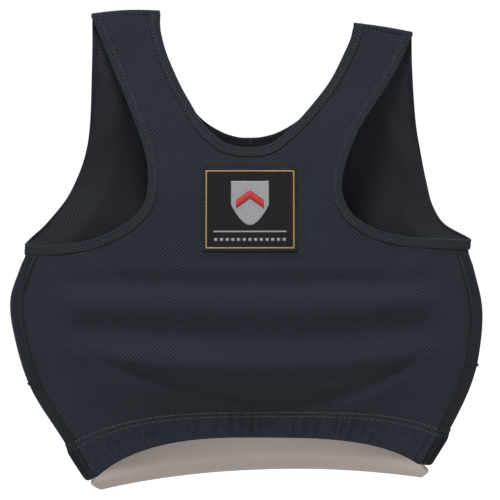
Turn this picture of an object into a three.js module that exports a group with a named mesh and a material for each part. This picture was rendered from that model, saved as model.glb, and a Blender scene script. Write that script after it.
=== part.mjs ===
// Chest protector for martial arts and boxing: a racerback crop top that holds a one-piece moulded
// bust guard in a pocket between its outer front and a mesh lining.
//
// Millimetres. +Z is up as worn, the wearer faces -Y and the wearer's left is +X. The origin lies on
// the body's axis at the level of the guard's lowest corner. The top is shown as it hangs empty, so
// its right strap sits a little lower than its left one and its hem is a little higher on the right.
//
// The garment's body is a flattened tube. At each height its section is half an ellipse round the
// front, and half a flat superellipse across the back. An angle runs round that section: 0 at the
// centre front, 90 degrees at the flank fold, and past 90 on the strip of front fabric that wraps
// on to the back as far as the side seam.

import * as THREE from "three";

// Driving dimensions
const LEFT = 1;
const RIGHT = -1;
const FRONT_DEPTH = 52;
const BACK_DEPTH = 12;
const STRAP_HALF_GAP = 3.1;
const CHEST_TOP_Z = 230;
const SHOULDER_Z = 364;

const FABRIC_THICKNESS = 1.0;
const LINING_THICKNESS = 0.8;
const GUARD_THICKNESS = 3.0;
const FIT_GAP = 0.5;

// How far each layer lies inside the outer front: its depth, and its width on each side. The guard
// is pushed over to the right, so the lining stands further in on the left.
const GUARD_DEPTH_INSET = 5;
const LINING_INSET = { depth: -10, [LEFT]: -18, [RIGHT]: -13 };
const LINING_HEM_Z = { centre: 40, [LEFT]: 26, [RIGHT]: 30 };

const CUP_DEPTH = 36;
const CUP_CENTRE_X = 80;
const CUP_CENTRE_Z = 128;
const CUP_RADIUS_X = 80;
const CUP_RADIUS_Z = 88;
const CUP_EASE = 3;

const SEAM_SETBACK = 10;
const SEAM_WIDTH = 2.8;
const SEAM_THICKNESS = 1.8;
const BINDING_WIDTH = 7;
const BINDING_THICKNESS = 2.0;

const BAND_HEIGHT = 28;
const BAND_TUCK = 7;
const CASING_THICKNESS = 0.8;
const CASING_HALF_GAP = 2.0;
const CASING_OFFSET = 0.4;
const ELASTIC_THICKNESS = 0.8;

const LABEL_WIDTH = 75;
const LABEL_HEIGHT = 67;
const LABEL_BOTTOM_Z = 190.5;
const LABEL_THICKNESS = 0.7;
const LABEL_OFFSET = 1.3;

const SHOULDER_BAR_DEPTH = 4.4;
const SHOULDER_BAR_HEIGHT = 2.5;
const SHOULDER_BAR_END_GAP = 1.5;
const LINING_BELOW_SHOULDER = 9;

const GUARD_TILT = THREE.MathUtils.degToRad(2.2);
const GUARD_SHIFT_X = -7;
const GUARD_LIFT = 2.2;
const HEM_SAG = 24;
const HEM_SAG_TOP_Z = 105;
const HEM_SAG_REACH = 0.92;
const DEGREES = Math.PI / 180;

// Half width of the flank fold at each height, as [z, half width]
const FLANK = {
  [LEFT]: [
    [-20, 124], [11, 135], [43, 152], [82, 175], [120, 187],
    [152, 191], [178, 183], [195, 180], [400, 180],
  ],
  [RIGHT]: [
    [-20, 124], [22, 144], [50, 161], [82, 175], [107, 182],
    [145, 185], [178, 180], [195, 178], [400, 178],
  ],
};

// Hem of the back: height at the centre, and how far and how fast it drops towards each side seam
const HEM = { centreZ: 43, [LEFT]: { drop: 31, power: 2.2 }, [RIGHT]: { drop: 19, power: 3.4 } };
const FRONT_HEM_RISE = -8;
const UNDERBUST_Z = { [LEFT]: 86, [RIGHT]: 101 };
const UNDERBUST_DIP = 22;

// Finished edges of the back panel, as [x, z], from the centre or the side seam up to the shoulder
const BACK_NECK = {
  [LEFT]: [
    [0, 273.5], [11, 274.5], [23, 279], [37, 292.5], [49, 312],
    [58, 329], [68, 353], [73, 374], [73, 385],
  ],
  [RIGHT]: [
    [0, 273.5], [10, 274.5], [20, 279], [36, 293], [52.5, 312],
    [65.5, 330], [76, 351], [81.5, 364], [84, 375],
  ],
};
const BACK_ARMHOLE = {
  [LEFT]: [
    [156, 195.5], [130, 199], [103, 210], [86, 225], [81, 243],
    [83, 268], [94, 300], [114, 348], [128, 382.5],
  ],
  [RIGHT]: [
    [156, 200.5], [140, 201], [120, 203], [98, 209], [80, 222],
    [73, 240], [77, 264], [89, 292], [117, 336], [131, 367.5],
  ],
};
const BACK_ARMHOLE_START = { [LEFT]: 195, [RIGHT]: 200 };

// Finished edges of the front panel, as [angle, z]: the angle is the one round the body
const FRONT_NECK = {
  [LEFT]: [
    [0, 288], [3.2, 288.5], [7.2, 292], [12.2, 301], [16.8, 316],
    [20.4, 336], [23, 356], [23.9, 374], [23.9, 385],
  ],
  [RIGHT]: [
    [0, 288], [3.2, 288.5], [7.4, 292], [12.8, 301], [18.8, 316],
    [23.4, 336], [26, 354], [27.4, 365], [28.2, 375],
  ],
};
const FRONT_ARMHOLE = {
  [LEFT]: [
    [98, 196], [84, 200], [74, 207.5], [67, 216], [58.8, 232],
    [53.7, 248], [49, 272], [46.6, 300], [45.3, 348], [45.3, 382.5],
  ],
  [RIGHT]: [
    [98, 200.5], [84, 203], [72, 208.5], [63, 217], [57.7, 232],
    [55, 250], [52.2, 274], [49.6, 300], [47.7, 340], [47.4, 367.5],
  ],
};

// Outline of one half of the guard, as [x, z]: up the middle and over the lobe, and up the side.
// The flank is the half width of the ellipse that its shell follows.
const GUARD_MIDDLE = [[0, 11], [0, 60], [0, 110], [0, 160], [0, 206], [22, 213], [46, 229], [70, 236]];
const GUARD_SIDE = [
  [127, 3], [133, 9], [130, 20], [140, 44], [153, 66], [164, 92], [171, 122], [172, 152], [165, 176],
  [148, 195], [124, 214], [106, 229], [92, 236],
];
const GUARD_FLANK = [
  [-20, 136], [9, 137], [20, 134], [44, 146], [66, 158], [92, 169], [122, 175.5], [152, 179],
  [178, 174.5], [400, 173.5],
];
const GUARD_ARCH = 2.2;

const MATERIALS = {
  smoothKnit: { color: 0x262931, roughness: 0.85, metalness: 0 },
  meshKnit: { color: 0x2b2e36, roughness: 0.9, metalness: 0 },
  liningMesh: { color: 0x31353f, roughness: 0.9, metalness: 0 },
  binding: { color: 0x22252d, roughness: 0.8, metalness: 0 },
  thread: { color: 0x3a3e49, roughness: 0.75, metalness: 0 },
  elastic: { color: 0x15161a, roughness: 0.8, metalness: 0 },
  wovenLabel: { color: 0x1c1a1b, roughness: 0.7, metalness: 0 },
  plastic: { color: 0xb8b0a8, roughness: 0.45, metalness: 0 },
};

// Numbers and curves

function smoothStep(low, high, value) {
  const t = THREE.MathUtils.clamp((value - low) / (high - low), 0, 1);
  return t * t * (3 - 2 * t);
}

// A smooth curve through [at, value] pairs: cubic between neighbours, with their mean slope
function valueAt(pairs, at) {
  const last = pairs.length - 1;
  let i = 0;
  while (i < last - 1 && at > pairs[i + 1][0]) i += 1;
  const slopeAt = (k) => {
    const before = pairs[Math.max(k - 1, 0)];
    const after = pairs[Math.min(k + 1, last)];
    return (after[1] - before[1]) / (after[0] - before[0]);
  };
  const [x0, y0] = pairs[i];
  const [x1, y1] = pairs[i + 1];
  const t = THREE.MathUtils.clamp((at - x0) / (x1 - x0), 0, 1);
  const t2 = t * t;
  const t3 = t2 * t;
  const run = x1 - x0;
  return (2 * t3 - 3 * t2 + 1) * y0 + (t3 - 2 * t2 + t) * run * slopeAt(i)
    + (3 * t2 - 2 * t3) * y1 + (t3 - t2) * run * slopeAt(i + 1);
}

function outline(points) {
  return new THREE.SplineCurve(points.map(([a, b]) => new THREE.Vector2(a, b)));
}

// The body

function flankAt(side, z) {
  return valueAt(FLANK[side], z);
}

function frontDepthAt(z) {
  return FRONT_DEPTH * (1 - smoothStep(CHEST_TOP_Z, SHOULDER_Z, z));
}

function backDepthAt(z) {
  return BACK_DEPTH * (1 - smoothStep(CHEST_TOP_Z, SHOULDER_Z, z));
}

function strapGapAt(z) {
  return STRAP_HALF_GAP * smoothStep(CHEST_TOP_Z, SHOULDER_Z, z);
}

// How far the cups stand out, in the guard's own frame: `ease` is what a fabric over them adds
function cupDepthAt(x, z, ease = 0) {
  const acrossShare = (Math.abs(x) - CUP_CENTRE_X) / (CUP_RADIUS_X + ease);
  const upShare = (z - CUP_CENTRE_Z) / (CUP_RADIUS_Z + ease);
  return CUP_DEPTH * Math.max(1 - acrossShare ** 2 - upShare ** 2, 0) ** 2;
}

// A place on the body in the guard's own frame, in which the guard is upright and central
function inGuardFrame(x, z) {
  const fromGuard = new THREE.Vector2(x - GUARD_SHIFT_X, z - GUARD_LIFT);
  return fromGuard.rotateAround(new THREE.Vector2(), GUARD_TILT);
}

// A point of the back at x and z: flat across the middle, turning in at the flank, and hanging into
// the hollow of the guard towards the hem
function backPoint(side, x, z, offset = 0) {
  const share = Math.min(Math.abs(x) / (flankAt(side, z) + offset), 1);
  const across = (1 - share ** 4) ** 0.25;
  const spread = Math.max(1 - (share / HEM_SAG_REACH) ** 2, 0);
  const sag = HEM_SAG * spread * (1 - smoothStep(HEM.centreZ, HEM_SAG_TOP_Z, z));
  const y = (backDepthAt(z) + offset) * across + strapGapAt(z) - sag;
  return new THREE.Vector3(side * x, y, z);
}

// A point of the front at an angle round the body: half an ellipse with the cups standing out of it,
// then the flat superellipse of the back. A layer's inset fades where the straps come together.
function frontPoint(side, angle, z, { width = 0, depth = 0, cupShare = 1 } = {}) {
  const fade = 1 - 0.8 * smoothStep(CHEST_TOP_Z, SHOULDER_Z, z);
  const halfWidth = flankAt(side, z) + width * fade;
  const sine = Math.sin(angle * DEGREES);
  const cosine = Math.cos(angle * DEGREES);
  if (cosine < 0) {
    const y = (BACK_DEPTH + depth) * Math.sqrt(-cosine);
    return new THREE.Vector3(side * halfWidth * Math.sqrt(sine), y, z);
  }
  const x = side * halfWidth * sine;
  const ellipse = strapGapAt(z) + (frontDepthAt(z) + depth * fade) * cosine;
  const inGuard = inGuardFrame(x, z);
  return new THREE.Vector3(x, -ellipse - cupShare * cupDepthAt(inGuard.x, inGuard.y, CUP_EASE), z);
}

// The angle of a line that runs a given way in from the flank fold across the back
function angleOnBack(side, z, setback) {
  const width = flankAt(side, z);
  return 180 - Math.asin(((width - setback) / width) ** 2) / DEGREES;
}

// The hem's corner is where it crosses the side seam
function hemCorner(side) {
  const z = HEM.centreZ - HEM[side].drop;
  return { x: flankAt(side, z) - SEAM_SETBACK, z, angle: angleOnBack(side, z, SEAM_SETBACK) };
}

function hemZ(side, x) {
  const { drop, power } = HEM[side];
  return HEM.centreZ - drop * Math.min(x / hemCorner(side).x, 1) ** power;
}

// The hem band leans into the hollow of the guard at the middle of the back, so it rises less there
function bandRise(side, x) {
  return BAND_HEIGHT - BAND_TUCK * (1 - Math.min(x / hemCorner(side).x, 1) ** 2);
}

function bandTopZ(side, share) {
  const x = share * hemCorner(side).x;
  return hemZ(side, x) + bandRise(side, x);
}

function forwardShare(angle) {
  return Math.max(Math.cos(angle * DEGREES), 0);
}

// Height of the front hem at an angle: level with the back hem at the side seam, lower in front
function frontHemZ(side, angle) {
  return THREE.MathUtils.lerp(hemCorner(side).z, HEM.centreZ + FRONT_HEM_RISE, forwardShare(angle));
}

function underbustZ(side, angle) {
  const centre = (UNDERBUST_Z[LEFT] + UNDERBUST_Z[RIGHT]) / 2 - UNDERBUST_DIP;
  return THREE.MathUtils.lerp(UNDERBUST_Z[side], centre, forwardShare(angle));
}

// Solids from sheets

// A closed solid from patches of points: each patch is a list of rows, equal points are shared, and
// the sheet is given its thickness half to each side, with a wall along every free edge
function thicken(patches, thickness) {
  const points = [];
  const normals = [];
  const indexOf = new Map();
  const indexFor = (point) => {
    const key = point.toArray().map((value) => Math.round(value * 1000)).join();
    if (!indexOf.has(key)) {
      indexOf.set(key, points.length);
      points.push(point);
      normals.push(new THREE.Vector3());
    }
    return indexOf.get(key);
  };
  const faces = [];
  for (const rows of patches) {
    const grid = rows.map((row) => row.map(indexFor));
    for (let r = 0; r + 1 < grid.length; r += 1) {
      for (let c = 0; c + 1 < grid[r].length; c += 1) {
        faces.push([grid[r][c], grid[r][c + 1], grid[r + 1][c + 1]]);
        faces.push([grid[r][c], grid[r + 1][c + 1], grid[r + 1][c]]);
      }
    }
  }
  const freeEdges = new Map();
  for (const face of faces) {
    const [p, q, r] = face.map((i) => points[i]);
    const normal = q.clone().sub(p).cross(r.clone().sub(p));
    for (let k = 0; k < 3; k += 1) {
      const [from, to] = [face[k], face[(k + 1) % 3]];
      normals[from].add(normal);
      if (!freeEdges.delete(`${to},${from}`)) freeEdges.set(`${from},${to}`, [from, to]);
    }
  }
  const shifted = (way) => points.map((p, i) => p.clone().addScaledVector(normals[i], way * thickness / 2));
  normals.forEach((normal) => normal.normalize());
  const count = points.length;
  const triangles = faces.flatMap(([a, b, c]) => [[a, b, c], [c + count, b + count, a + count]]);
  for (const [from, to] of freeEdges.values()) {
    triangles.push([to, from, from + count], [to, from + count, to + count]);
  }
  const positions = [...shifted(1), ...shifted(-1)].flatMap((p) => p.toArray());
  const geometry = new THREE.BufferGeometry();
  geometry.setAttribute("position", new THREE.Float32BufferAttribute(positions, 3));
  geometry.setIndex(triangles.flat());
  geometry.computeVertexNormals();
  return geometry;
}

// Rows of a patch from a function of two shares, 0 to 1 across and 0 to 1 up. The rows of the right
// half of the body are turned round, so that both halves face the same way.
function patch(side, across, up, pointAt) {
  const shares = (count) => Array.from({ length: count + 1 }, (unused, i) => i / count);
  return shares(up).map((v) => {
    const row = shares(across).map((u) => pointAt(u, v));
    return side === RIGHT ? row.reverse() : row;
  });
}

// A finished edge of a panel on one half of the body. `at` gives a point of the edge, and `inset` a
// point that lies a distance inside it on the panel. `turn` is the side of the edge that the panel
// is on: 1 to the left of the way up along it, and -1 to the right.
function panelEdge(side, points, turn, pointAt) {
  const curve = outline(points);
  const surface = (p) => pointAt(side, p.x, p.y);
  const at = (t) => surface(curve.getPoint(t));
  const inset = (t, distance) => {
    const step = 0.002;
    const p = curve.getPoint(t);
    const here = surface(p);
    const along = at(Math.min(t + step, 1)).sub(at(Math.max(t - step, 0))).normalize();
    if (here.x === 0) along.set(side, 0, 0);
    if (t === 1) along.set(0, 0, 1);
    const acrossStep = surface(new THREE.Vector2(p.x + 0.5, p.y)).sub(here);
    const upStep = surface(new THREE.Vector2(p.x, p.y + 0.5)).sub(here);
    const normal = acrossStep.cross(upStep).normalize();
    return here.addScaledVector(normal.cross(along), turn * distance);
  };
  return { at, inset };
}

function edgesOf(side) {
  const seamZ = BACK_ARMHOLE_START[side];
  const backSeam = [flankAt(side, seamZ) - SEAM_SETBACK, seamZ];
  const frontSeam = [angleOnBack(side, seamZ, SEAM_SETBACK), seamZ];
  return {
    backNeck: panelEdge(side, BACK_NECK[side], -1, backPoint),
    backArmhole: panelEdge(side, [backSeam, ...BACK_ARMHOLE[side]], 1, backPoint),
    frontNeck: panelEdge(side, FRONT_NECK[side], -1, frontPoint),
    frontArmhole: panelEdge(side, [frontSeam, ...FRONT_ARMHOLE[side]], 1, frontPoint),
  };
}

const EDGES = { [LEFT]: edgesOf(LEFT), [RIGHT]: edgesOf(RIGHT) };

// A panel's parameters at a point: how far across (x on the back, the angle on the front) and z
function onBack(side, point) {
  return { across: Math.abs(point.x), z: point.z };
}

function onFront(side, point) {
  const share = Math.min(Math.abs(point.x) / flankAt(side, point.z), 1);
  const across = point.y > 0 ? 180 - Math.asin(share ** 2) / DEGREES : Math.asin(share) / DEGREES;
  return { across, z: point.z };
}

// One half of a panel. Its rows start on the centre line and then on the neck edge, and end on the
// side seam and then on the armhole edge. `bottom` is the height of the lowest row at each share of
// the way across, and the bend that this gives it is gone where the armhole starts. Up the centre
// line the rows slow down past CHEST_LINE_Z, while their other ends turn the foot of the armhole.
const PANEL_ROWS = 20;
const NECK_SHARE = 0.7;
const ARMHOLE_SHARE = 0.4;
const CHEST_LINE_Z = 178;
const CHEST_LINE_EASE = 2.2;

function halfPanel(side, columns, { neck, armhole, parametersOf, seamAcross, bottom, pointAt }) {
  const inset = BINDING_WIDTH + FIT_GAP;
  const lerp = THREE.MathUtils.lerp;
  const neckAt = (t) => parametersOf(side, neck.inset(t, inset));
  const armholeAt = (t) => {
    const { across, z } = parametersOf(side, armhole.inset(t, inset));
    return { across: Math.min(across, seamAcross(z)), z };
  };
  const startOf = (up) => {
    if (up >= NECK_SHARE) return neckAt((up - NECK_SHARE) / (1 - NECK_SHARE));
    if (up < ARMHOLE_SHARE) return { across: 0, z: lerp(bottom(0), CHEST_LINE_Z, up / ARMHOLE_SHARE) };
    const rise = ((up - ARMHOLE_SHARE) / (NECK_SHARE - ARMHOLE_SHARE)) ** CHEST_LINE_EASE;
    return { across: 0, z: lerp(CHEST_LINE_Z, neckAt(0).z, rise) };
  };
  const endOf = (up) => {
    if (up >= ARMHOLE_SHARE) return armholeAt((up - ARMHOLE_SHARE) / (1 - ARMHOLE_SHARE));
    const z = lerp(bottom(1), armholeAt(0).z, up / ARMHOLE_SHARE);
    return { across: seamAcross(z), z };
  };
  return patch(side, columns, PANEL_ROWS, (share, up) => {
    const start = startOf(up);
    const end = endOf(up);
    const bend = bottom(share) - lerp(bottom(0), bottom(1), share);
    const z = lerp(start.z, end.z, share) + bend * Math.max(1 - up / ARMHOLE_SHARE, 0) ** 2;
    return pointAt(side, lerp(start.across, end.across, share), z);
  });
}

// The back half of the hem band, and the back above it, stop just short of the front at the side seam
const BACK_BAND_END = 0.996;

// Pieces

const group = new THREE.Group();

function add(name, material, geometry) {
  const mesh = new THREE.Mesh(geometry, new THREE.MeshStandardMaterial(MATERIALS[material]));
  mesh.name = name;
  group.add(mesh);
}

const SEAM_MARGIN = SEAM_WIDTH / 2 + FIT_GAP;

// Back: one piece of eyelet-mesh knit from side seam to side seam, cut away under the shoulders
function backPanel() {
  return [LEFT, RIGHT].map((side) => halfPanel(side, 9, {
    neck: EDGES[side].backNeck,
    armhole: EDGES[side].backArmhole,
    parametersOf: onBack,
    seamAcross: (z) => flankAt(side, z) - SEAM_SETBACK - SEAM_MARGIN,
    bottom: (share) => bandTopZ(side, share * BACK_BAND_END) + FIT_GAP,
    pointAt: backPoint,
  }));
}

const FRONT_COLUMNS = 14;

function underbustEnd(side) {
  return angleOnBack(side, UNDERBUST_Z[side], SEAM_SETBACK - SEAM_MARGIN);
}

// Front above the underbust seam: smooth knit that follows the guard and wraps round the flanks
function frontUpperPanel() {
  return [LEFT, RIGHT].map((side) => halfPanel(side, FRONT_COLUMNS, {
    neck: EDGES[side].frontNeck,
    armhole: EDGES[side].frontArmhole,
    parametersOf: onFront,
    seamAcross: (z) => angleOnBack(side, z, SEAM_SETBACK - SEAM_MARGIN),
    bottom: (share) => underbustZ(side, share * underbustEnd(side)) + SEAM_MARGIN,
    pointAt: frontPoint,
  }));
}

// Lining: mesh across the hollow of the guard. It makes the guard's pocket with the outer front, and
// the pocket is open along the hem.
function pocketLining() {
  const shoulderCut = LINING_BELOW_SHOULDER / (BACK_NECK[LEFT].at(-1)[1] - CHEST_TOP_Z);
  return [LEFT, RIGHT].map((side) => {
    const layer = { width: LINING_INSET[side], depth: LINING_INSET.depth, cupShare: 0 };
    return halfPanel(side, 9, {
      neck: EDGES[side].frontNeck,
      armhole: EDGES[side].frontArmhole,
      parametersOf: onFront,
      seamAcross: (z) => angleOnBack(side, z, SEAM_SETBACK),
      bottom: (share) => {
        const forward = forwardShare(90 * share);
        return THREE.MathUtils.lerp(LINING_HEM_Z[side], LINING_HEM_Z.centre, forward);
      },
      pointAt: (s, angle, z) => frontPoint(s, angle, z - Math.max(z - CHEST_TOP_Z, 0) * shoulderCut, layer),
    });
  });
}

// Front between the hem band and the underbust seam
function frontLowerPanel() {
  return [LEFT, RIGHT].map((side) => patch(side, FRONT_COLUMNS, 3, (share, up) => {
    const angle = share * underbustEnd(side);
    const low = frontHemZ(side, angle) + BAND_HEIGHT + FIT_GAP;
    const high = underbustZ(side, angle) - SEAM_MARGIN;
    return frontPoint(side, angle, THREE.MathUtils.lerp(low, high, up));
  }));
}

// The overlocked seam that joins the two front panels, and the two side seams
function underbustSeam() {
  return [LEFT, RIGHT].map((side) => patch(side, FRONT_COLUMNS, 1, (share, up) => {
    const angle = share * underbustEnd(side);
    return frontPoint(side, angle, underbustZ(side, angle) + (up - 0.5) * SEAM_WIDTH);
  }));
}

function sideSeam(side) {
  const bottom = hemCorner(side).z + BAND_HEIGHT + FIT_GAP;
  const top = BACK_ARMHOLE_START[side] - BINDING_WIDTH - 2 * FIT_GAP;
  return [patch(side, 1, 12, (share, up) => {
    const z = THREE.MathUtils.lerp(bottom, top, up);
    return backPoint(side, flankAt(side, z) - SEAM_SETBACK + (share - 0.5) * SEAM_WIDTH, z);
  })];
}

// Bindings: the folded and coverstitched edge of the neck and of each armhole. Each is one loop that
// runs down the back, up the front, and over the shoulder. Their points are level with the panels'
// rows, so that the gap between them stays even.
const NECK_STEPS = Math.round(PANEL_ROWS * (1 - NECK_SHARE));
const ARMHOLE_STEPS = Math.round(PANEL_ROWS * (1 - ARMHOLE_SHARE));

function bindingUp(edge, steps) {
  const shares = Array.from({ length: steps + 1 }, (unused, i) => i / steps);
  return shares.map((t) => [edge.at(t), edge.inset(t, BINDING_WIDTH)]);
}

function overShoulder(row) {
  return row.map((p) => new THREE.Vector3(p.x, 0, p.z + BINDING_THICKNESS / 2));
}

function neckBinding() {
  const backLeft = bindingUp(EDGES[LEFT].backNeck, NECK_STEPS);
  const backRight = bindingUp(EDGES[RIGHT].backNeck, NECK_STEPS);
  const frontRight = bindingUp(EDGES[RIGHT].frontNeck, NECK_STEPS);
  const frontLeft = bindingUp(EDGES[LEFT].frontNeck, NECK_STEPS);
  return [[
    ...backLeft.reverse(), ...backRight.slice(1), overShoulder(backRight.at(-1)),
    ...frontRight.reverse(), ...frontLeft.slice(1), overShoulder(backLeft[0]), backLeft[0],
  ]];
}

function armholeBinding(side) {
  const up = bindingUp(EDGES[side].backArmhole, ARMHOLE_STEPS);
  const down = bindingUp(EDGES[side].frontArmhole, ARMHOLE_STEPS).reverse().slice(0, -1);
  const ring = [...up, overShoulder(up.at(-1)), ...down, up[0]];
  return [side === LEFT ? ring : ring.map((row) => [...row].reverse())];
}

// Shoulder seam: the bulky seam allowance between the two layers of a strap, flat underneath
function shoulderSeam(side) {
  const neckEnd = new THREE.Vector2(...BACK_NECK[side].at(-1));
  const armholeEnd = new THREE.Vector2(...BACK_ARMHOLE[side].at(-1));
  const strap = armholeEnd.clone().sub(neckEnd);
  const length = strap.length() - 2 * (BINDING_WIDTH + SHOULDER_BAR_END_GAP);
  const geometry = new THREE.BoxGeometry(length, SHOULDER_BAR_DEPTH, SHOULDER_BAR_HEIGHT);
  geometry.translate(0, 0, -SHOULDER_BAR_HEIGHT / 2);
  const middle = neckEnd.add(armholeEnd).multiplyScalar(0.5);
  geometry.rotateY(-side * strap.angle());
  geometry.translate(side * middle.x, 0, middle.y);
  return geometry;
}

// Hem band: the knit folded up round an elastic. Each half is a U in section, from the top of its
// outer layer round the fold to the top of its inner layer, as [layer, share of the height].
const CASING_SECTION = [
  [1, 1], [1, 0.7], [1, 0.35], [1, 0.08], [0, 0], [-1, 0.08], [-1, 0.35], [-1, 0.7], [-1, 1],
];

// A point of the band across the back, at a share of the way to the side seam and a height above the
// hem as a share of the band's own
function backBandPoint(side, share, heightShare, offset) {
  const corner = hemCorner(side);
  const hemX = share * corner.x;
  const z = THREE.MathUtils.lerp(hemZ(side, hemX), bandTopZ(side, share), heightShare);
  const seamX = (flankAt(side, z) + offset) * Math.sqrt(Math.sin(corner.angle * DEGREES));
  return backPoint(side, share * seamX, z, offset);
}

function frontBandPoint(side, share, heightShare, offset) {
  const angle = share * hemCorner(side).angle;
  const z = frontHemZ(side, angle) + heightShare * BAND_HEIGHT;
  return frontPoint(side, angle, z, { width: offset, depth: offset });
}

const FRONT_BAND_COLUMNS = 20;
const BACK_BAND_COLUMNS = 12;

function casing(columns, endShare, bandPoint) {
  const last = CASING_SECTION.length - 1;
  return [LEFT, RIGHT].map((side) => patch(side, columns, last, (share, up) => {
    const [layer, heightShare] = CASING_SECTION[Math.round(up * last)];
    return bandPoint(side, share * endShare, heightShare, CASING_OFFSET + layer * CASING_HALF_GAP);
  }));
}

function frontBand() {
  return casing(FRONT_BAND_COLUMNS, 1, frontBandPoint);
}

function backBand() {
  return casing(BACK_BAND_COLUMNS, BACK_BAND_END, backBandPoint);
}

// The elastic: one flat loop inside the hem band, all the way round
function waistElastic() {
  const pointOn = (bandPoint, side) => (share, up) => (
    bandPoint(side, share, THREE.MathUtils.lerp(0.12, 0.88, up), CASING_OFFSET)
  );
  return [LEFT, RIGHT].flatMap((side) => [
    patch(side, BACK_BAND_COLUMNS, 3, pointOn(backBandPoint, side)),
    patch(-side, FRONT_BAND_COLUMNS, 3, pointOn(frontBandPoint, side)),
  ]);
}

// Label: a square woven patch sewn on between the shoulder blades
function labelPatch() {
  return [LEFT, RIGHT].map((side) => patch(side, 3, 5, (share, up) => (
    backPoint(side, share * LABEL_WIDTH / 2, LABEL_BOTTOM_Z + up * LABEL_HEIGHT, LABEL_OFFSET)
  )));
}

// Guard: one moulded shell with two cups, pushed up into the pocket and turned a little in it
function guardShell() {
  const middle = outline(GUARD_MIDDLE);
  const edge = outline(GUARD_SIDE);
  const bottomArch = (share) => GUARD_ARCH * 4 * share * (1 - share);
  const halves = [LEFT, RIGHT].map((side) => patch(side, 14, 18, (share, up) => {
    const p = middle.getPoint(up).lerp(edge.getPoint(up), share);
    const z = p.y + bottomArch(share) * Math.max(1 - 3 * up, 0) ** 2;
    const reach = Math.min(p.x / valueAt(GUARD_FLANK, z), 1);
    const ellipse = (FRONT_DEPTH - GUARD_DEPTH_INSET) * Math.sqrt(1 - reach ** 2);
    return new THREE.Vector3(side * p.x, -ellipse - cupDepthAt(p.x, z), z);
  }));
  const geometry = thicken(halves, GUARD_THICKNESS);
  geometry.rotateY(GUARD_TILT);
  geometry.translate(GUARD_SHIFT_X, 0, GUARD_LIFT);
  return geometry;
}

add("guard_shell", "plastic", guardShell());
add("pocket_lining", "liningMesh", thicken(pocketLining(), LINING_THICKNESS));
add("front_upper_panel", "smoothKnit", thicken(frontUpperPanel(), FABRIC_THICKNESS));
add("front_lower_panel", "smoothKnit", thicken(frontLowerPanel(), FABRIC_THICKNESS));
add("underbust_seam", "thread", thicken(underbustSeam(), SEAM_THICKNESS));
add("back_panel", "meshKnit", thicken(backPanel(), FABRIC_THICKNESS));
add("side_seam_left", "thread", thicken(sideSeam(LEFT), SEAM_THICKNESS));
add("side_seam_right", "thread", thicken(sideSeam(RIGHT), SEAM_THICKNESS));
add("shoulder_seam_left", "thread", shoulderSeam(LEFT));
add("shoulder_seam_right", "thread", shoulderSeam(RIGHT));
add("neck_binding", "binding", thicken(neckBinding(), BINDING_THICKNESS));
add("armhole_binding_left", "binding", thicken(armholeBinding(LEFT), BINDING_THICKNESS));
add("armhole_binding_right", "binding", thicken(armholeBinding(RIGHT), BINDING_THICKNESS));
add("waist_elastic", "elastic", thicken(waistElastic(), ELASTIC_THICKNESS));
add("hem_band_front", "smoothKnit", thicken(frontBand(), CASING_THICKNESS));
add("hem_band_back", "meshKnit", thicken(backBand(), CASING_THICKNESS));
add("label_patch", "wovenLabel", thicken(labelPatch(), LABEL_THICKNESS));

export default group;
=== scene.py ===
import math

import bpy
import numpy as np
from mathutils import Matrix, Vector


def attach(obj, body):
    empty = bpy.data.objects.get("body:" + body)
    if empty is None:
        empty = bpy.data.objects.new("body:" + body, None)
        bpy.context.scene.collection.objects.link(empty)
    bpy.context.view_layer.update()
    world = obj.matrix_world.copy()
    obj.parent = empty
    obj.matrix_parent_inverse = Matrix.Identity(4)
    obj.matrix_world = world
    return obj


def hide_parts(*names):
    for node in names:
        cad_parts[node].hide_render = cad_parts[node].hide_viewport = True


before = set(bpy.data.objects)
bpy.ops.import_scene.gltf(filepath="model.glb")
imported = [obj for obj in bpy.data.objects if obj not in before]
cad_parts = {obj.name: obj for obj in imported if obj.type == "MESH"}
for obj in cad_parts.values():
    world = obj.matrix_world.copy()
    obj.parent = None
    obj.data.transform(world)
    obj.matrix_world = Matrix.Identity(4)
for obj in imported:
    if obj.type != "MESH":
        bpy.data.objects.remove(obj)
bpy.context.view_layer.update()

# ---------------------------------------------------------------------------------------------
# The bust guard: one shell of warm grey polyethylene, 3 mm thick, with two cups. It is moulded
# in one piece, trimmed with rounded edges and flared a little along its lower edge. It isn't
# fixed: it is pushed up into its pocket from the hem, and it sits a little turned there.
# ---------------------------------------------------------------------------------------------
LEFT, RIGHT = 1, -1  # the wearer's sides: left is +X
MM = 0.001  # a millimetre in metres
GUARD_THICKNESS = 3.0
GUARD_DEPTH = 47.0
GUARD_TILT = math.radians(2.2)
GUARD_SHIFT_X = -7.0
GUARD_LIFT = 2.2
GUARD_ARCH = 2.2
GUARD_FLARE = 1.1
GUARD_FLARE_HEIGHT = 12.0
GUARD_FOOT, GUARD_FOOT_Z = {LEFT: 0.5, RIGHT: 5.0}, (3, 15)
GUARD_GRID = (121, 91)
GUARD_EDGE_RADIUS = 0.9
CUP_DEPTH = 36.0
CUP_CENTRE_X, CUP_CENTRE_Z = 80.0, 128.0
CUP_RADIUS_X, CUP_RADIUS_Z = 80.0, 88.0
GUARD_CENTRE_Z, GUARD_CENTRE_SHARE = (11.0, 206.0), 4 / 7
GUARD_TOP = [(0, 206), (9, 206.8), (24, 213), (46, 228), (70, 236)]
GUARD_SIDE = [
    (127, 3), (133, 9), (130, 20), (140, 44), (153, 66), (164, 92), (171, 122), (172, 152),
    (163.5, 176), (146.5, 194.5), (123, 213.5), (106, 229), (92, 236),
]
GUARD_FLANK = [
    (-20, 136), (9, 137), (20, 132.4), (44, 146), (66, 158), (92, 169), (122, 175.5), (152, 178),
    (178, 171.5), (400, 169.0),
]
PLASTIC_GREY = (0.76, 0.665, 0.605)
PLASTIC_CLOUD = (0.66, 0.575, 0.52)


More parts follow.
